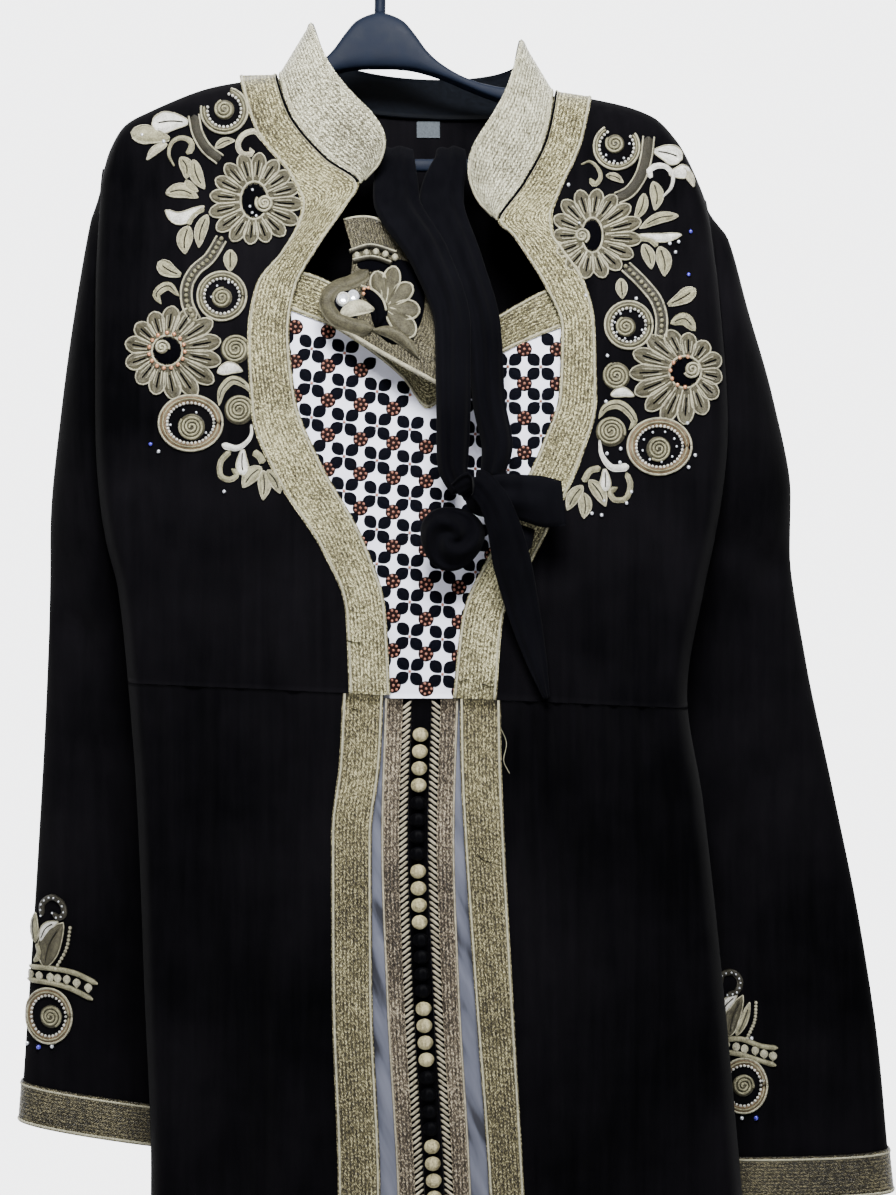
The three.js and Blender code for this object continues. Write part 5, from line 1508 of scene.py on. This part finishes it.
def bundle(form):
    t = np.linspace(0.08, 0.92, 28)
    turn = (np.arange(48) * TURN / 48)[None]
    row = (t * 6 / 0.84)[:, None]
    radius = np.sin(math.pi * t)[:, None] * (1 + form.fold * np.cos(form.folds * turn + row))
    return place(form.across + form.wide * radius * np.cos(turn),
                 form.drop - form.tall * np.cos(math.pi * t)[:, None] + 0 * turn,
                 form.depth + form.deep * radius * np.sin(turn))


def add_rosette(piece, form):
    """Cloth wound round itself: a dome whose folds run in a spiral to its middle."""
    share = np.linspace(0, 1, 30)[1:, None]
    turn = (np.arange(72) * TURN / 72)[None]
    wave = np.cos(form.arms * turn + form.wind * share)
    dome = np.sqrt(np.maximum(0, 1 - share ** 2))
    reach = form.radius * share * (1 + 0.05 * np.cos(3 * turn + 1))
    x, d = form.across + reach * np.cos(turn), form.drop + reach * np.sin(turn)
    folds = form.fold * wave * ease(share * 3) * ease((1 - share) * 4)
    top = place(x, d, form.depth - form.deep * dome * (0.75 + 0.25 * share) - folds)
    low = place(x, d, form.depth + form.deep * 0.4 * dome)
    loft(piece, np.concatenate([low, top[::-1]]))


def add_flap(piece, form):
    """A flattened loop of cloth between two edges, its folds gathered at the knot's end."""
    t = np.linspace(0, 1, 30)
    top, low = spline(form.top, 30), spline(form.low, 30)
    s = np.linspace(0, 1, 24)
    line = top[:, None] + (low - top)[:, None] * s[None, :, None]
    puff = np.sqrt(np.maximum(0, 1 - (2 * s - 1) ** 2))[None] * np.sqrt(np.clip(4 * (1 - t), 0, 1))[:, None]
    folds = 1.5 * np.sin(11 * s[None] + 2.5 * t[:, None]) * ease(1.4 * (1 - t))[:, None] * puff
    front = form.depth - form.deep * (0.25 + 0.75 * puff) - folds
    back = form.depth + form.thick * puff
    points = [place(line[..., 0], line[..., 1], depth) for depth in (front, back)]
    between(piece, *points, False, measured(points[0]))


def belt_point(row, t):
    b = BELT_PANEL
    return place(mix(b.left_across(row), b.right_across(row), t),
                 mix(b.left_drop(row), b.right_drop(row), t) + b.bow(row) * np.sin(math.pi * t),
                 mix(b.left_depth(row), b.right_depth(row), t))


def belt_depth(across, drop):
    """Depth of the belt's front piece at (across, drop)."""
    b = BELT_PANEL
    across, drop = np.broadcast_arrays(np.asarray(across, float), drop)
    row = np.full(across.shape, 2.0)
    for _ in range(30):
        t = np.clip((across - b.left_across(row)) / (b.right_across(row) - b.left_across(row)), 0, 1)
        at = mix(b.left_drop(row), b.right_drop(row), t) + b.bow(row) * np.sin(math.pi * t)
        row = np.clip(row + (drop - at) / BELT_ROW, 0, BELT_PANEL.last)
    return mix(b.left_depth(row), b.right_depth(row), t)


BELT_PETALS = [  # tip across and drop, width
    (-28.5, 244, 11), (-17.4, 241, 11), (-7, 252.7, 11.5), (-2, 269.5, 12.5), (-5.5, 285, 13.5),
]
BELT_HEART = (-23.5, 267.6)
BELT_ROW = 22.0  # about as far as from one row of its table to the next
BELT_FACE = 0.6  # how far the front piece's own face stands out from its middle


def add_belt_embroidery(piece):
    ground = on_cloth(belt_depth)
    face = lambda across, drop, height: ground(across, drop, BELT_FACE + height)
    stroke(piece, face, BLACK, [(-41, 239), (-31, 238), (-21, 241)], 11, "leaf", rise=0.2)
    pad(piece, face, BLACK, (-16, 263), 17, 27, rise=0.2)
    for path in ([(-46, 230.5), (-33, 227), (-16, 232.5)], [(-43, 236.5), (-31, 234.8), (-19, 239)]):
        cord_on(piece, face, DARK, spline(path, 24), 1.5, 1.2)
        cord_on(piece, face, CORD, spline(path, 24) + [0, -0.7], 0.6, 2.2)
    beads_on(piece, face, CORD, spline([(-40.5, 233), (-31, 231), (-17, 235.2)], 5), 2.3, 1.4)
    for across, drop, width in BELT_PETALS:
        root, tip = np.array(BELT_HEART), np.array([across, drop])
        stroke(piece, face, DUSK, [root, mix(root, tip, 0.5), tip], width, "petal", vein=0.6, rise=1.8,
               cells=(18, 9))
        cord_on(piece, face, CORD, rim_of(*petal_line(root, tip, width, 14)), 0.75, 1.2)
    # A thick satin loop holds a black ring with two silver beads and a leaf.
    loop = [(-33, 244), (-44, 250), (-55, 255), (-59, 263), (-55, 272), (-44, 278), (-31, 281)]
    stroke(piece, face, DUSK, loop, 9.5, "cord", rise=3.2, cells=(40, 9))
    stroke(piece, face, DUSK, [(-31, 281), (-18, 283), (-8, 291), (-2, 299)], 8.5, "leaf", rise=2.4,
           cells=(26, 9))
    pad(piece, face, BLACK, (-46.5, 265.5), 9.5, 9.5, rise=0.7)
    pad(piece, face, GLASS, (-49, 262.5), 4.6, rise=2.6)
    cord_on(piece, face, WHITE, arc((-49, 262.5), 3.3, count=20)[:-1], 0.7, 2.5, closed=True)
    pad(piece, face, GLASS, (-43, 260), 4.0, 4.6, rise=2.2)
    stroke(piece, face, CORD, [(-51, 272), (-41, 267), (-29, 268.5)], 10.5, "leaf", rise=2.2, cells=(20, 9))
    stroke(piece, face, BLACK, [(-37.5, 256), (-29, 262), (-25, 270), (-27.5, 279)], 10, "crescent",
           rise=2.6, cells=(24, 9))
    beads_on(piece, face, RED, [(-36.5, 260), (-36, 256.7), (-33.2, 256)], 1.2, 3.4)
    cord_on(piece, face, CORD, spline([(-38, 254), (-30, 257), (-24.5, 263), (-22.3, 270)], 16), 0.8, 2.6)


def add_sash(name, build):
    piece = Piece()
    build(piece)
    piece.make(f"belt_{name}", SASH, "sash_cloth")


def add_belt():
    for side in SIDES:
        add_sash(f"tie_{side}", lambda piece: loft(piece, cloth_band(TIE[side], 5, 0.3)))
    add_sash("knot", lambda piece: loft(piece, bundle(KNOT)))
    add_sash("rosette", lambda piece: add_rosette(piece, ROSETTE))
    add_sash("loop", lambda piece: [add_flap(piece, form) for form in (LOOP, LOBE)])
    add_sash("tail", lambda piece: loft(piece, cloth_band(TAIL, 4, 0.35)))
    front = Piece()
    grid = belt_point(np.linspace(0, BELT_PANEL.last, 34)[:, None], np.linspace(0, 1, 46)[None])
    shell(front, grid, -0.8, BELT_FACE, -1, kind=WOVEN)
    front.make("belt_front", THREADS, "belt_embroidery")
    work = Piece()
    for line, radius in ((grid[-1], 1.5), (grid[0], 0.9), (grid[:, -1], 1.2)):
        tube(work, line, radius, 8, kind=CORD)
    add_belt_embroidery(work)
    work.make("belt_embroidery", THREADS, "belt_embroidery", stands_in=False)


# ---------------------------------------------------------------- hanger and label
ARM_REACH = 154.0
HANGER = columns("x top bottom half", [
    [0, 73, 108.5, 7], [7, 75, 108.5, 7], [15, 79, 109, 7], [22, 87, 110, 7], [30, 98, 112, 7],
    [38, 105.5, 114.5, 7], [54, 115, 121, 7.5], [66, 119, 126, 7], [105, 126, 139, 8],
    [146, 142, 153, 7.5], [ARM_REACH, 149, 157, 6.5],
], by="x")
HOOK = SimpleNamespace(rod=3.5, bend=20.0, stem_foot=72.4, tip_turn=40)
BAR = SimpleNamespace(drop=170.0, half=4.0, thick=3.0, reach=138.0, strut=151.0, strut_drop=157.2)


def add_hanger():
    arms = Piece()
    x = np.linspace(-ARM_REACH, ARM_REACH, 121)
    top, bottom, half = (getattr(HANGER, n)(np.abs(x)) for n in ("top", "bottom", "half"))
    turn = (np.arange(28) * TURN / 28)[None]
    cos, sin = rounded(np.cos(turn), 0.45), rounded(np.sin(turn), 0.6)
    drop = ((top + bottom) / 2)[:, None] - ((bottom - top) / 2)[:, None] * sin
    loft(arms, np.stack(np.broadcast_arrays(x[:, None], half[:, None] * cos, -drop), -1))
    arms.make("hanger_arms", NAVY_PLASTIC, "hanger_plastic")
    centre = -HOOK.bend + HOOK.rod
    turns = [(HOOK.bend * math.cos(math.radians(a)), 0, centre + HOOK.bend * math.sin(math.radians(a)))
             for a in (215, 180, 135, 90, 45, 0, -HOOK.tip_turn)]
    route = [(0, 0, -HOOK.stem_foot - 2), (0, 0, -HOOK.stem_foot + 10), (-3, 0, centre - HOOK.bend - 9),
             *turns]
    hook = Piece()
    tube(hook, spline(route, 70), HOOK.rod, 16)
    hook.make("hanger_hook", NAVY_PLASTIC, "hanger_plastic")
    bar = Piece()
    half = [(BAR.strut, BAR.strut_drop), (BAR.reach + 5, BAR.drop - 3), (BAR.reach - 8, BAR.drop),
            (60, BAR.drop)]
    path = spline([(-x, 0, -d) for x, d in half] + [(x, 0, -d) for x, d in half[::-1]], 90)
    _, side, up = frames_along(path)
    turn = np.arange(16) * TURN / 16
    cos, sin = rounded(np.cos(turn), 0.6), rounded(np.sin(turn), 0.6)
    ring = side[:, None] * (BAR.half * cos)[None, :, None] + up[:, None] * (BAR.thick * sin)[None, :, None]
    loft(bar, path[:, None] + ring)
    bar.make("hanger_bar", NAVY_PLASTIC, "hanger_plastic")


def add_label():
    piece = Piece()
    across, drop = np.linspace(-5, 10, 16)[None], np.linspace(136.5, 147, 12)[:, None]
    shell(piece, place(across, drop, back_depth(across, drop)), -CLOTH - 1.0, -CLOTH - 0.5)
    piece.make("label", LABEL, "label_cloth")


# ---------------------------------------------------------------- sprays on the chest and the sleeves
# Leaves, buds and curls of each spray: thread, form, width, vein, then points (across, drop).
CHEST_STROKES = {
    "left": [
        (WHITE, "petal", 14, 0.5, [(-146.5, 148.5), (-158, 148), (-169, 150)]),
        (IVORY, "petal", 12, 0, [(-158, 159), (-170, 156.5), (-182, 155)]),
        (CORD, "leaf", 5, 0, [(-159.5, 162), (-167, 166), (-172, 172)]),
        (IVORY, "curl", 4.3, 0, [(-147.5, 168), (-145, 166), (-144.5, 161), (-150, 158), (-156, 160.5),
                                 (-158.5, 168), (-155, 176)]),
        (IVORY, "leaf", 8, 0.3, [(-151, 170.5), (-147, 177), (-147.5, 184)]),
        (IVORY, "leaf", 5, 0, [(-147.5, 185), (-145, 189), (-140, 192)]),
        (IVORY, "leaf", 8, 0.3, [(-143, 172), (-141, 182), (-136, 190.5)]),
        (IVORY, "leaf", 9, 0.3, [(-160, 193.5), (-150, 191.5), (-140, 196)]),
        (WHITE, "leaf", 8, 0, [(-160, 204), (-153, 209), (-136, 201.5)]),
        (IVORY, "cord", 3.4, 0, [(-136, 203), (-142, 206), (-146, 213)]),
        (IVORY, "leaf", 9.5, 0.6, [(-145.5, 214), (-148, 223), (-147.5, 231.5)]),
        (IVORY, "leaf", 7.5, 0.3, [(-134, 207), (-138, 217), (-139, 227.5)]),
        (IVORY, "leaf", 5, 0.4, [(-129.5, 164.5), (-123, 160.5), (-117.5, 160)]),
        (CORD, "cord", 3.5, 0, [(-98.5, 161), (-105, 154), (-113, 157), (-115.5, 163.5), (-112, 168.5),
                                (-106.5, 167.5), (-108, 164.5)]),
        (IVORY, "leaf", 8, 0.8, [(-119.5, 229), (-119.5, 236), (-119.5, 242.5)]),
        (IVORY, "petal", 9.5, 0.5, [(-150, 245), (-157, 242), (-164, 237)]),
        (IVORY, "crescent", 5.7, 0.3, [(-151, 258), (-158, 251.5), (-165, 257), (-162, 263)]),
        (WHITE, "leaf", 7.5, 0, [(-127, 305.5), (-119, 302.5), (-111.5, 304.5)]),
        (IVORY, "crescent", 5.7, 0.3, [(-126, 326), (-124, 316), (-117.5, 310), (-109, 314), (-106, 318.5)]),
        (WHITE, "curl", 4.7, 0, [(-124, 350), (-114.5, 352), (-106, 344), (-106, 337.5)]),
        (WHITE, "petal", 8, 0.4, [(-111, 353), (-111.5, 361), (-110.5, 369)]),
        (IVORY, "cord", 3.5, 0, [(-118.5, 353.5), (-125, 361), (-124, 370), (-118.5, 371.5), (-114.5, 368),
                                 (-118, 365)]),
        (IVORY, "cord", 4.5, 0, [(-104.5, 354.5), (-101, 357), (-98.5, 361.5)]),
        (IVORY, "leaf", 9, 0.4, [(-99.5, 364), (-106, 369), (-111, 376.5)]),
        (IVORY, "leaf", 8, 0.4, [(-98.5, 366), (-97.5, 375), (-98.5, 384)]),
        (IVORY, "leaf", 8, 0.4, [(-96, 366), (-91, 372), (-88, 380)]),
    ],
    "right": [
        (IVORY, "curl", 3.8, 0, [(103.5, 184), (106, 187.5), (110, 183.5), (108.5, 177.5), (103.5, 173),
                                 (98, 175)]),
        (IVORY, "leaf", 4.5, 0.4, [(113.5, 182), (119, 183), (124, 186.5)]),
        (WHITE, "petal", 13, 0.5, [(143.5, 166.5), (152, 168), (160.5, 171.5)]),
        (WHITE, "petal", 9, 0, [(152.5, 181), (159, 180), (165.5, 178.5)]),
        (CORD, "leaf", 5, 0, [(160.5, 176.5), (165, 182), (167.5, 189)]),
        (WHITE, "curl", 4.6, 0, [(141.5, 183.5), (140, 179), (144, 176), (151, 176.5), (155, 182.5),
                                 (154, 189), (148.5, 195.5)]),
        (IVORY, "leaf", 8, 0.3, [(142.5, 186), (145, 195), (143.5, 204)]),
        (IVORY, "leaf", 6.5, 0.3, [(137, 193.5), (135.5, 202), (131, 210)]),
        (IVORY, "leaf", 6.5, 0.3, [(158, 207.5), (146, 209), (134, 215.5)]),
        (WHITE, "leaf", 5.5, 0, [(160, 219.5), (147, 221.5), (133.5, 219.5)]),
        (IVORY, "cord", 3.4, 0, [(134, 221.5), (140, 222.5), (145, 226.5)]),
        (IVORY, "leaf", 9, 0.6, [(146, 227), (149, 236), (149, 245.5)]),
        (IVORY, "leaf", 7.5, 0.3, [(136, 225.5), (139.5, 233), (141, 241)]),
        (IVORY, "leaf", 7, 0.8, [(122, 247), (122.5, 253), (123, 259.5)]),
        (IVORY, "petal", 9, 0.5, [(151, 263.5), (160, 259), (168, 253.5)]),
        (IVORY, "crescent", 8, 0.3, [(152.5, 275), (161, 272), (168, 279.5)]),
        (WHITE, "leaf", 6, 0, [(115.5, 319.5), (123, 317.5), (130, 320)]),
        (IVORY, "crescent", 6, 0.3, [(108, 334), (112.5, 327), (119.5, 325), (127.5, 330.5), (130, 335.5),
                                     (126.5, 341)]),
        (WHITE, "curl", 5.5, 0, [(126.5, 363.5), (116, 364), (110, 356.5), (108.5, 347)]),
        (WHITE, "petal", 7, 0.4, [(111.5, 365), (112, 372), (111.5, 379)]),
        (IVORY, "cord", 3.6, 0, [(125, 367), (127.5, 374.5), (124, 383.5), (117, 383.5), (115, 379),
                                 (119.5, 376.5)]),
        (IVORY, "cord", 4, 0, [(109, 364.5), (103, 366), (98.5, 373)]),
        (IVORY, "leaf", 8, 0.4, [(102, 372), (108, 379), (112, 388)]),
        (IVORY, "leaf", 8, 0.4, [(98, 375.5), (92.5, 382), (88.5, 390.5)]),
        (IVORY, "leaf", 8, 0.4, [(98.5, 380), (99.5, 388), (98.5, 395.5)]),
    ],
}
CHEST_BEADS = {
    "left": {
        BLUE: [(-168.5, 349.5)],
        GLASS: [(-163.5, 354), (-122.5, 379), (-161.5, 160.5), (-175, 156.5)],
    },
    "right": {
        BLUE: [(165.5, 217.5), (164, 244.5)],
        GLASS: [(158, 224), (152.5, 225), (156, 230.5), (100.5, 257.5), (131.5, 259.5), (90, 188),
                (113.5, 295), (112.5, 323.5), (121.5, 352.5), (113, 355.5), (121, 361), (163, 336.5),
                (167.5, 356.5), (163.5, 364), (128, 379), (125, 386), (111, 384.5), (103.5, 392.5),
                (109.5, 393.5)],
    },
}


def chest_rounds_left(piece, face):
    ring(piece, face, (-124, 141), 15, 10, -75, 190, core=((-124, 140.5), 6.2))
    dark_stem(piece, face, [(-143, 144), (-140.5, 155.5), (-135, 165), (-126.5, 172)], 7)
    flower(piece, face, (-104.5, 197.5), 29, 16, (8.5, 12), (-0.5, 0.5), 0.1, knot=((-98.5, 200), 6),
           beads=[(-106, 191.5), (-107.5, 202), (-106, 206), (-103.5, 208)])
    beaded_stem(piece, face, [(-125, 222), (-133, 235), (-141, 242), (-146, 251.5), (-146, 262),
                              (-141, 273)], 8)
    ring(piece, face, (-124.5, 258), 15.6, 10.4, core=((-124.5, 259), 6.4),
         beads=[(-127.5, 251.5), (-120.5, 249.5), (-131, 258.5), (-132.5, 265.5)])
    flower(piece, face, (-154, 293), 29.5, 14, (9.5, 9.5), (-4, -1), 0.2, knot=((-161, 290), 4.7),
           grain_light_and_shade=(11, -90, 240))
    disc(piece, face, (-116, 291), 9)
    disc(piece, face, (-113.5, 328.5), 9.3)
    ring(piece, face, (-143.5, 336.5), 20.3, 14, tall=17.5, core=((-143, 339), 8.3), ground=RUST,
         beads=[(-148, 328.5), (-140, 330), (-156, 337.5), (-134, 342.5)])


def chest_rounds_right(piece, face):
    ring(piece, face, (120, 164), 14.7, 10.3, -37, 239, core=((119, 162), 6),
         beads=[(128, 162), (113.5, 169), (124.5, 171), (118.5, 173)])
    dark_stem(piece, face, [(140, 157.5), (138.5, 170), (134, 184), (127, 193), (120, 196.5)], 7.5)
    flower(piece, face, (107, 218.5), 28, 15, (6.5, 11), (-2.5, 1.5), 0.15, knot=((98, 220.5), 5),
           beads=[(96.5, 212.5)])
    beaded_stem(piece, face, [(125, 239.5), (136, 250.5), (144, 261), (147, 271), (146.5, 283.5)], 8)
    ring(piece, face, (126.8, 276), 15.2, 10, core=((125, 277), 6.2),
         beads=arc((126.8, 276), 8.7, 20, 320, count=8))
    flower(piece, face, (156, 307.5), 29, 14, (10, 10), (5.5, -2.5), 0.05, knot=((166, 303.5), 5.6),
           grain_light_and_shade=(9.5, 90, 280))
    disc(piece, face, (119, 307.5), 8.5)
    disc(piece, face, (115.5, 342), 9.3)
    ring(piece, face, (145.5, 351), 20.3, 14, tall=17.8, core=((145, 352.5), 7.7), ground=RUST,
         beads=arc((145.5, 351), 10.8, 0, 330, tall=9.5, count=9))


# Short dark tacks where the braid was sewn on: across, drop, how far it runs across and down.
TACKS = [(-46.5, 470.5, 9, 1.5), (22, 496, 6, -1.5), (36, 497, 7, 1.5), (33, 601, 8, 5), (-44, 512, 4, 1)]
LOOSE_THREAD = [(47.5, 524), (51, 533), (49.5, 545), (53, 552)]


def add_tacks():
    face = on_cloth(front_depth)
    tacks, thread = Piece(), Piece()
    for across, drop, run, fall in TACKS:
        points = (across, drop), (across + run / 2, drop + fall * 0.8), (across + run, drop + fall)
        path = spline(points, 12)
        tube(tacks, face(path[:, 0], path[:, 1], 2.2), 0.28, 6)
    path = spline(LOOSE_THREAD, 24)
    tube(thread, face(path[:, 0], path[:, 1], 0.7), 0.22, 6)
    tacks.make("tack_stitches", VELVET, "crepe", stands_in=False)
    thread.make("loose_thread", PALE_CORD, "metal_thread", stands_in=False)


SLEEVE_SPRAY = {
    "left": SimpleNamespace(
        dark=[(-245.5, 648.5), (-245, 640.5), (-238, 636), (-231, 640.5), (-230.5, 647), (-234, 649),
              (-237.5, 646)],
        strokes=[
            (IVORY, "leaf", 7, 0.3, [(-250, 666), (-251.5, 656), (-250, 647)]),
            (WHITE, "leaf", 6.5, 0.3, [(-246.5, 665), (-242, 656), (-234, 651.5)]),
            (DUSK, "leaf", 15, 1.0, [(-243.5, 681.5), (-240, 666), (-230.5, 652)]),
            (IVORY, "crescent", 5, 0, [(-249.5, 666.5), (-247, 672), (-251, 679)]),
        ],
        fringe=[(-236, 682), (-228.5, 668), (-226, 655)],
        cords=[[(-255, 682), (-239, 682), (-224, 684.5), (-209, 691.5)],
               [(-256.5, 690.5), (-243, 691), (-228, 694), (-212, 701.5)]],
        lobes=[(-254, 687), (-247.5, 687.5), (-240, 688), (-235, 688.5), (-229, 689), (-222.5, 691),
               (-215, 694)],
        ring=((-241, 712.5), 16, 11, 18.2, ((-239.5, 713), 7.3)),
        glass=[(-238.5, 732), (-255.5, 731.5)], blue=[(-247.5, 733)],
    ),
    "right": SimpleNamespace(
        dark=[(189.5, 693), (191, 686), (198, 684.5), (202.5, 690), (200, 697.5), (194, 699)],
        strokes=[
            (WHITE, "leaf", 7, 0.3, [(189.5, 710.5), (194.5, 704), (200.5, 699)]),
            (IVORY, "crescent", 3.6, 0, [(189, 713), (192, 719.5), (189.5, 724.5)]),
            (DUSK, "leaf", 10, 1.0, [(195.5, 725.5), (198, 712), (204.5, 699.5)]),
            (IVORY, "leaf", 5.5, 0.3, [(200, 725), (205, 715), (209, 704)]),
        ],
        fringe=[(207, 727), (212, 716), (213, 704)],
        cords=[[(190, 727.5), (203.5, 727.5), (216.5, 732), (226.5, 732.5)],
               [(191.5, 735.5), (200, 736.5), (211, 740), (225.5, 744)]],
        lobes=[(193.5, 731), (200, 732.5), (205.5, 734), (212.5, 735), (218, 737), (223.5, 738)],
        ring=((204.5, 757), 16, 11, 17.8, ((204.5, 757), 7)),
        glass=[(203.5, 777.5), (217.5, 754), (210, 727)], blue=[(212.5, 777.5)],
    ),
}


def add_strokes(piece, face, rows):
    for thread, form, width, vein, path in rows:
        stroke(piece, face, thread, path, width, form, vein)
        line = spline(path, 16)
        if vein:
            cord_on(piece, face, DARK, line[2:13], 0.45, 1.45)
        if form in ("leaf", "petal"):
            half = np.maximum(width / 2 * WIDTHS[form](np.linspace(0, 1, 16)), 0.12)
            cord_on(piece, face, CORD, rim_of(line, half), 0.42, 0.75)


def add_chest_embroidery(side):
    piece = Piece()
    face = on_cloth(bodice_front)
    add_strokes(piece, face, CHEST_STROKES[side])
    rounds = chest_rounds_left if side == "left" else chest_rounds_right
    rounds(piece, face)
    for thread, points in CHEST_BEADS[side].items():
        beads_on(piece, face, thread, points, 1.2, 0.9)
    piece.make(f"embroidery_chest_{side}", THREADS, "metal_thread")


def add_sleeve_embroidery(side):
    spray = SLEEVE_SPRAY[side]
    piece = Piece()
    face = on_cloth(lambda across, drop: sleeve_face(side, across, drop))
    stroke(piece, face, DARK, spray.dark, 4, "cord", cells=(40, 7))
    beads_on(piece, face, GLASS, spline(spray.dark, 12), 0.7, 1.6)
    add_strokes(piece, face, spray.strokes)
    beads_on(piece, face, CORD, spline(spray.fringe, 12), 1.2, 0.9)
    for path in spray.cords:
        stroke(piece, face, IVORY, path, 3.4, "cord", cells=(34, 7))
    for across, drop in spray.lobes:
        stroke(piece, face, CORD, [(across, drop - 3.2), (across, drop), (across, drop + 3.2)], 5, "leaf",
               0.4, cells=(9, 7))
    centre, outer, inner, tall, core = spray.ring
    ring(piece, face, centre, outer, inner, tall=tall, core=core, ground=RUST)
    beads_on(piece, face, GLASS, spray.glass, 1.3, 0.9)
    beads_on(piece, face, BLUE, spray.blue, 1.5, 0.9)
    piece.make(f"embroidery_sleeve_{side}", THREADS, "metal_thread")


# ---------------------------------------------------------------- cuts of the cloth
# Width and length of the smallest oblong each piece of cloth is cut from, and its area, in metres.
CUTS = [
    ("back_bodice", 0.42, 0.41, 0.147, "hung", []),
    ("front_bodice_left", 0.19, 0.41, 0.060, "hung", ["band_bodice_left", "embroidery_chest_left"]),
    ("front_bodice_right", 0.18, 0.41, 0.053, "hung", ["band_bodice_right", "embroidery_chest_right"]),
    ("back_skirt", 0.56, 1.02, 0.465, "gathered", []),
    ("front_skirt_left", 0.26, 1.02, 0.200, "gathered", ["band_skirt_left"]),
    ("front_skirt_right", 0.28, 1.02, 0.215, "gathered", ["band_skirt_right"]),
    ("sleeve_left", 0.25, 0.62, 0.094, "hung", ["cuff_braid_left", "embroidery_sleeve_left"]),
    ("sleeve_right", 0.28, 0.66, 0.119, "hung", ["cuff_braid_right", "embroidery_sleeve_right"]),
    ("collar", 0.48, 0.045, 0.018, "folded", ["collar_braid"]),
    ("bust_panel", 0.19, 0.28, 0.030, "hung", ["bust_braid", "bust_print"]),
    ("underskirt_front", 0.13, 1.01, 0.126, "hung",
     ["placket_strip", "placket_braid_left", "placket_braid_right"]),
    ("belt_front", 0.068, 0.08, 0.004, "folded", ["belt_embroidery"]),
    ("belt_tie_left", 0.030, 0.31, 0.0090, "folded", []),
    ("belt_tie_right", 0.028, 0.29, 0.0080, "folded", []),
    ("belt_tail", 0.026, 0.14, 0.0034, "folded", []),
    ("belt_loop", 0.055, 0.05, 0.0025, "folded", []),
    ("belt_rosette", 0.045, 0.045, 0.0018, "folded", []),
    ("belt_knot", 0.032, 0.032, 0.0009, "folded", []),
    ("label", 0.015, 0.011, 0.00016, "hung", []),
]


def declare_cuts():
    made = bpy.data.objects
    for name, width, length, area, held, trims in CUTS:
        trims = [made[f"{trim}_fine"] for trim in trims]


# ---------------------------------------------------------------- camera and light
CAMERA = SimpleNamespace(place=(0.0432, -1.3, -0.4441), lens=61.7, sensor=36.0)


def add_camera():
    data = bpy.data.cameras.new("camera")
    data.lens, data.sensor_width = CAMERA.lens, CAMERA.sensor
    camera = bpy.data.objects.new("camera", data)
    camera.location = CAMERA.place
    camera.rotation_euler = (math.pi / 2, 0, 0)
    bpy.context.scene.collection.objects.link(camera)
    bpy.context.scene.camera = camera


def add_light(name, place_at, aim, size, power, colour=(1, 1, 1)):
    data = bpy.data.lights.new(name, "AREA")
    data.shape, data.size, data.size_y = "RECTANGLE", size[0], size[1]
    data.energy, data.color = power, colour
    light = bpy.data.objects.new(name, data)
    light.location = place_at
    toward = np.array(aim, float) - np.array(place_at, float)
    light.rotation_euler = Vector(toward).to_track_quat("-Z", "Y").to_euler()
    bpy.context.scene.collection.objects.link(light)


FLOOR = SimpleNamespace(drop=1560.0, reach=2200.0)


def add_studio():
    turn = np.arange(96) * TURN / 96
    rim = np.stack([FLOOR.reach * np.cos(turn), FLOOR.reach * np.sin(turn), np.full(96, -FLOOR.drop)], -1)
    mesh = bpy.data.meshes.new("floor")
    mesh.from_pydata((rim * MM).tolist(), [], [tuple(range(96))])
    mesh.materials.append(plain_finish("floor_paint", (0.86, 0.86, 0.87), 0.8, 3, 0.01))
    obj = bpy.data.objects.new("floor", mesh)
    bpy.context.scene.collection.objects.link(obj)
    add_world()
    add_light("key", (0.06, -0.8, 0.32), (0.04, 0, -0.3), (0.5, 0.35), 46)
    add_light("fill", (1.6, -1.7, -0.2), (0, 0, -0.6), (1.2, 1.6), 5, (0.94, 0.96, 1))
    add_light("side", (-1.8, -0.9, -0.3), (0, 0, -0.6), (0.9, 1.6), 6)


def add_world():
    """A pale room: bright behind the garment, dimmer on the viewer's side and underneath."""
    world = bpy.data.worlds.new("studio")
    bpy.context.scene.world = world
    world.use_nodes = True
    tree = world.node_tree
    direction = tree.nodes.new("ShaderNodeTexCoord").outputs["Generated"]
    parts = tree.nodes.new("ShaderNodeSeparateXYZ")
    ramp = tree.nodes.new("ShaderNodeMapRange")
    back = tree.nodes["Background"]
    tree.links.new(direction, parts.inputs[0])
    tree.links.new(parts.outputs["Y"], ramp.inputs["Value"])
    tree.links.new(ramp.outputs["Result"], back.inputs["Strength"])
    for name, value in (("From Min", 0.1), ("From Max", 0.5), ("To Min", 0.35), ("To Max", 4.6)):
        ramp.inputs[name].default_value = value
    back.inputs["Color"].default_value = (0.98, 0.985, 1, 1)


# ---------------------------------------------------------------- the whole garment
add_camera()
add_studio()
add_hanger()
add_back()
for side in SIDES:
    add_bodice_front(side)
    add_skirt_front(side)
    add_sleeve(side)
add_collar()
add_bust()
add_print()
add_underskirt()
add_buttons()
add_belt()
add_label()
for side in SIDES:
    add_chest_embroidery(side)
    add_sleeve_embroidery(side)
add_tacks()
declare_cuts()
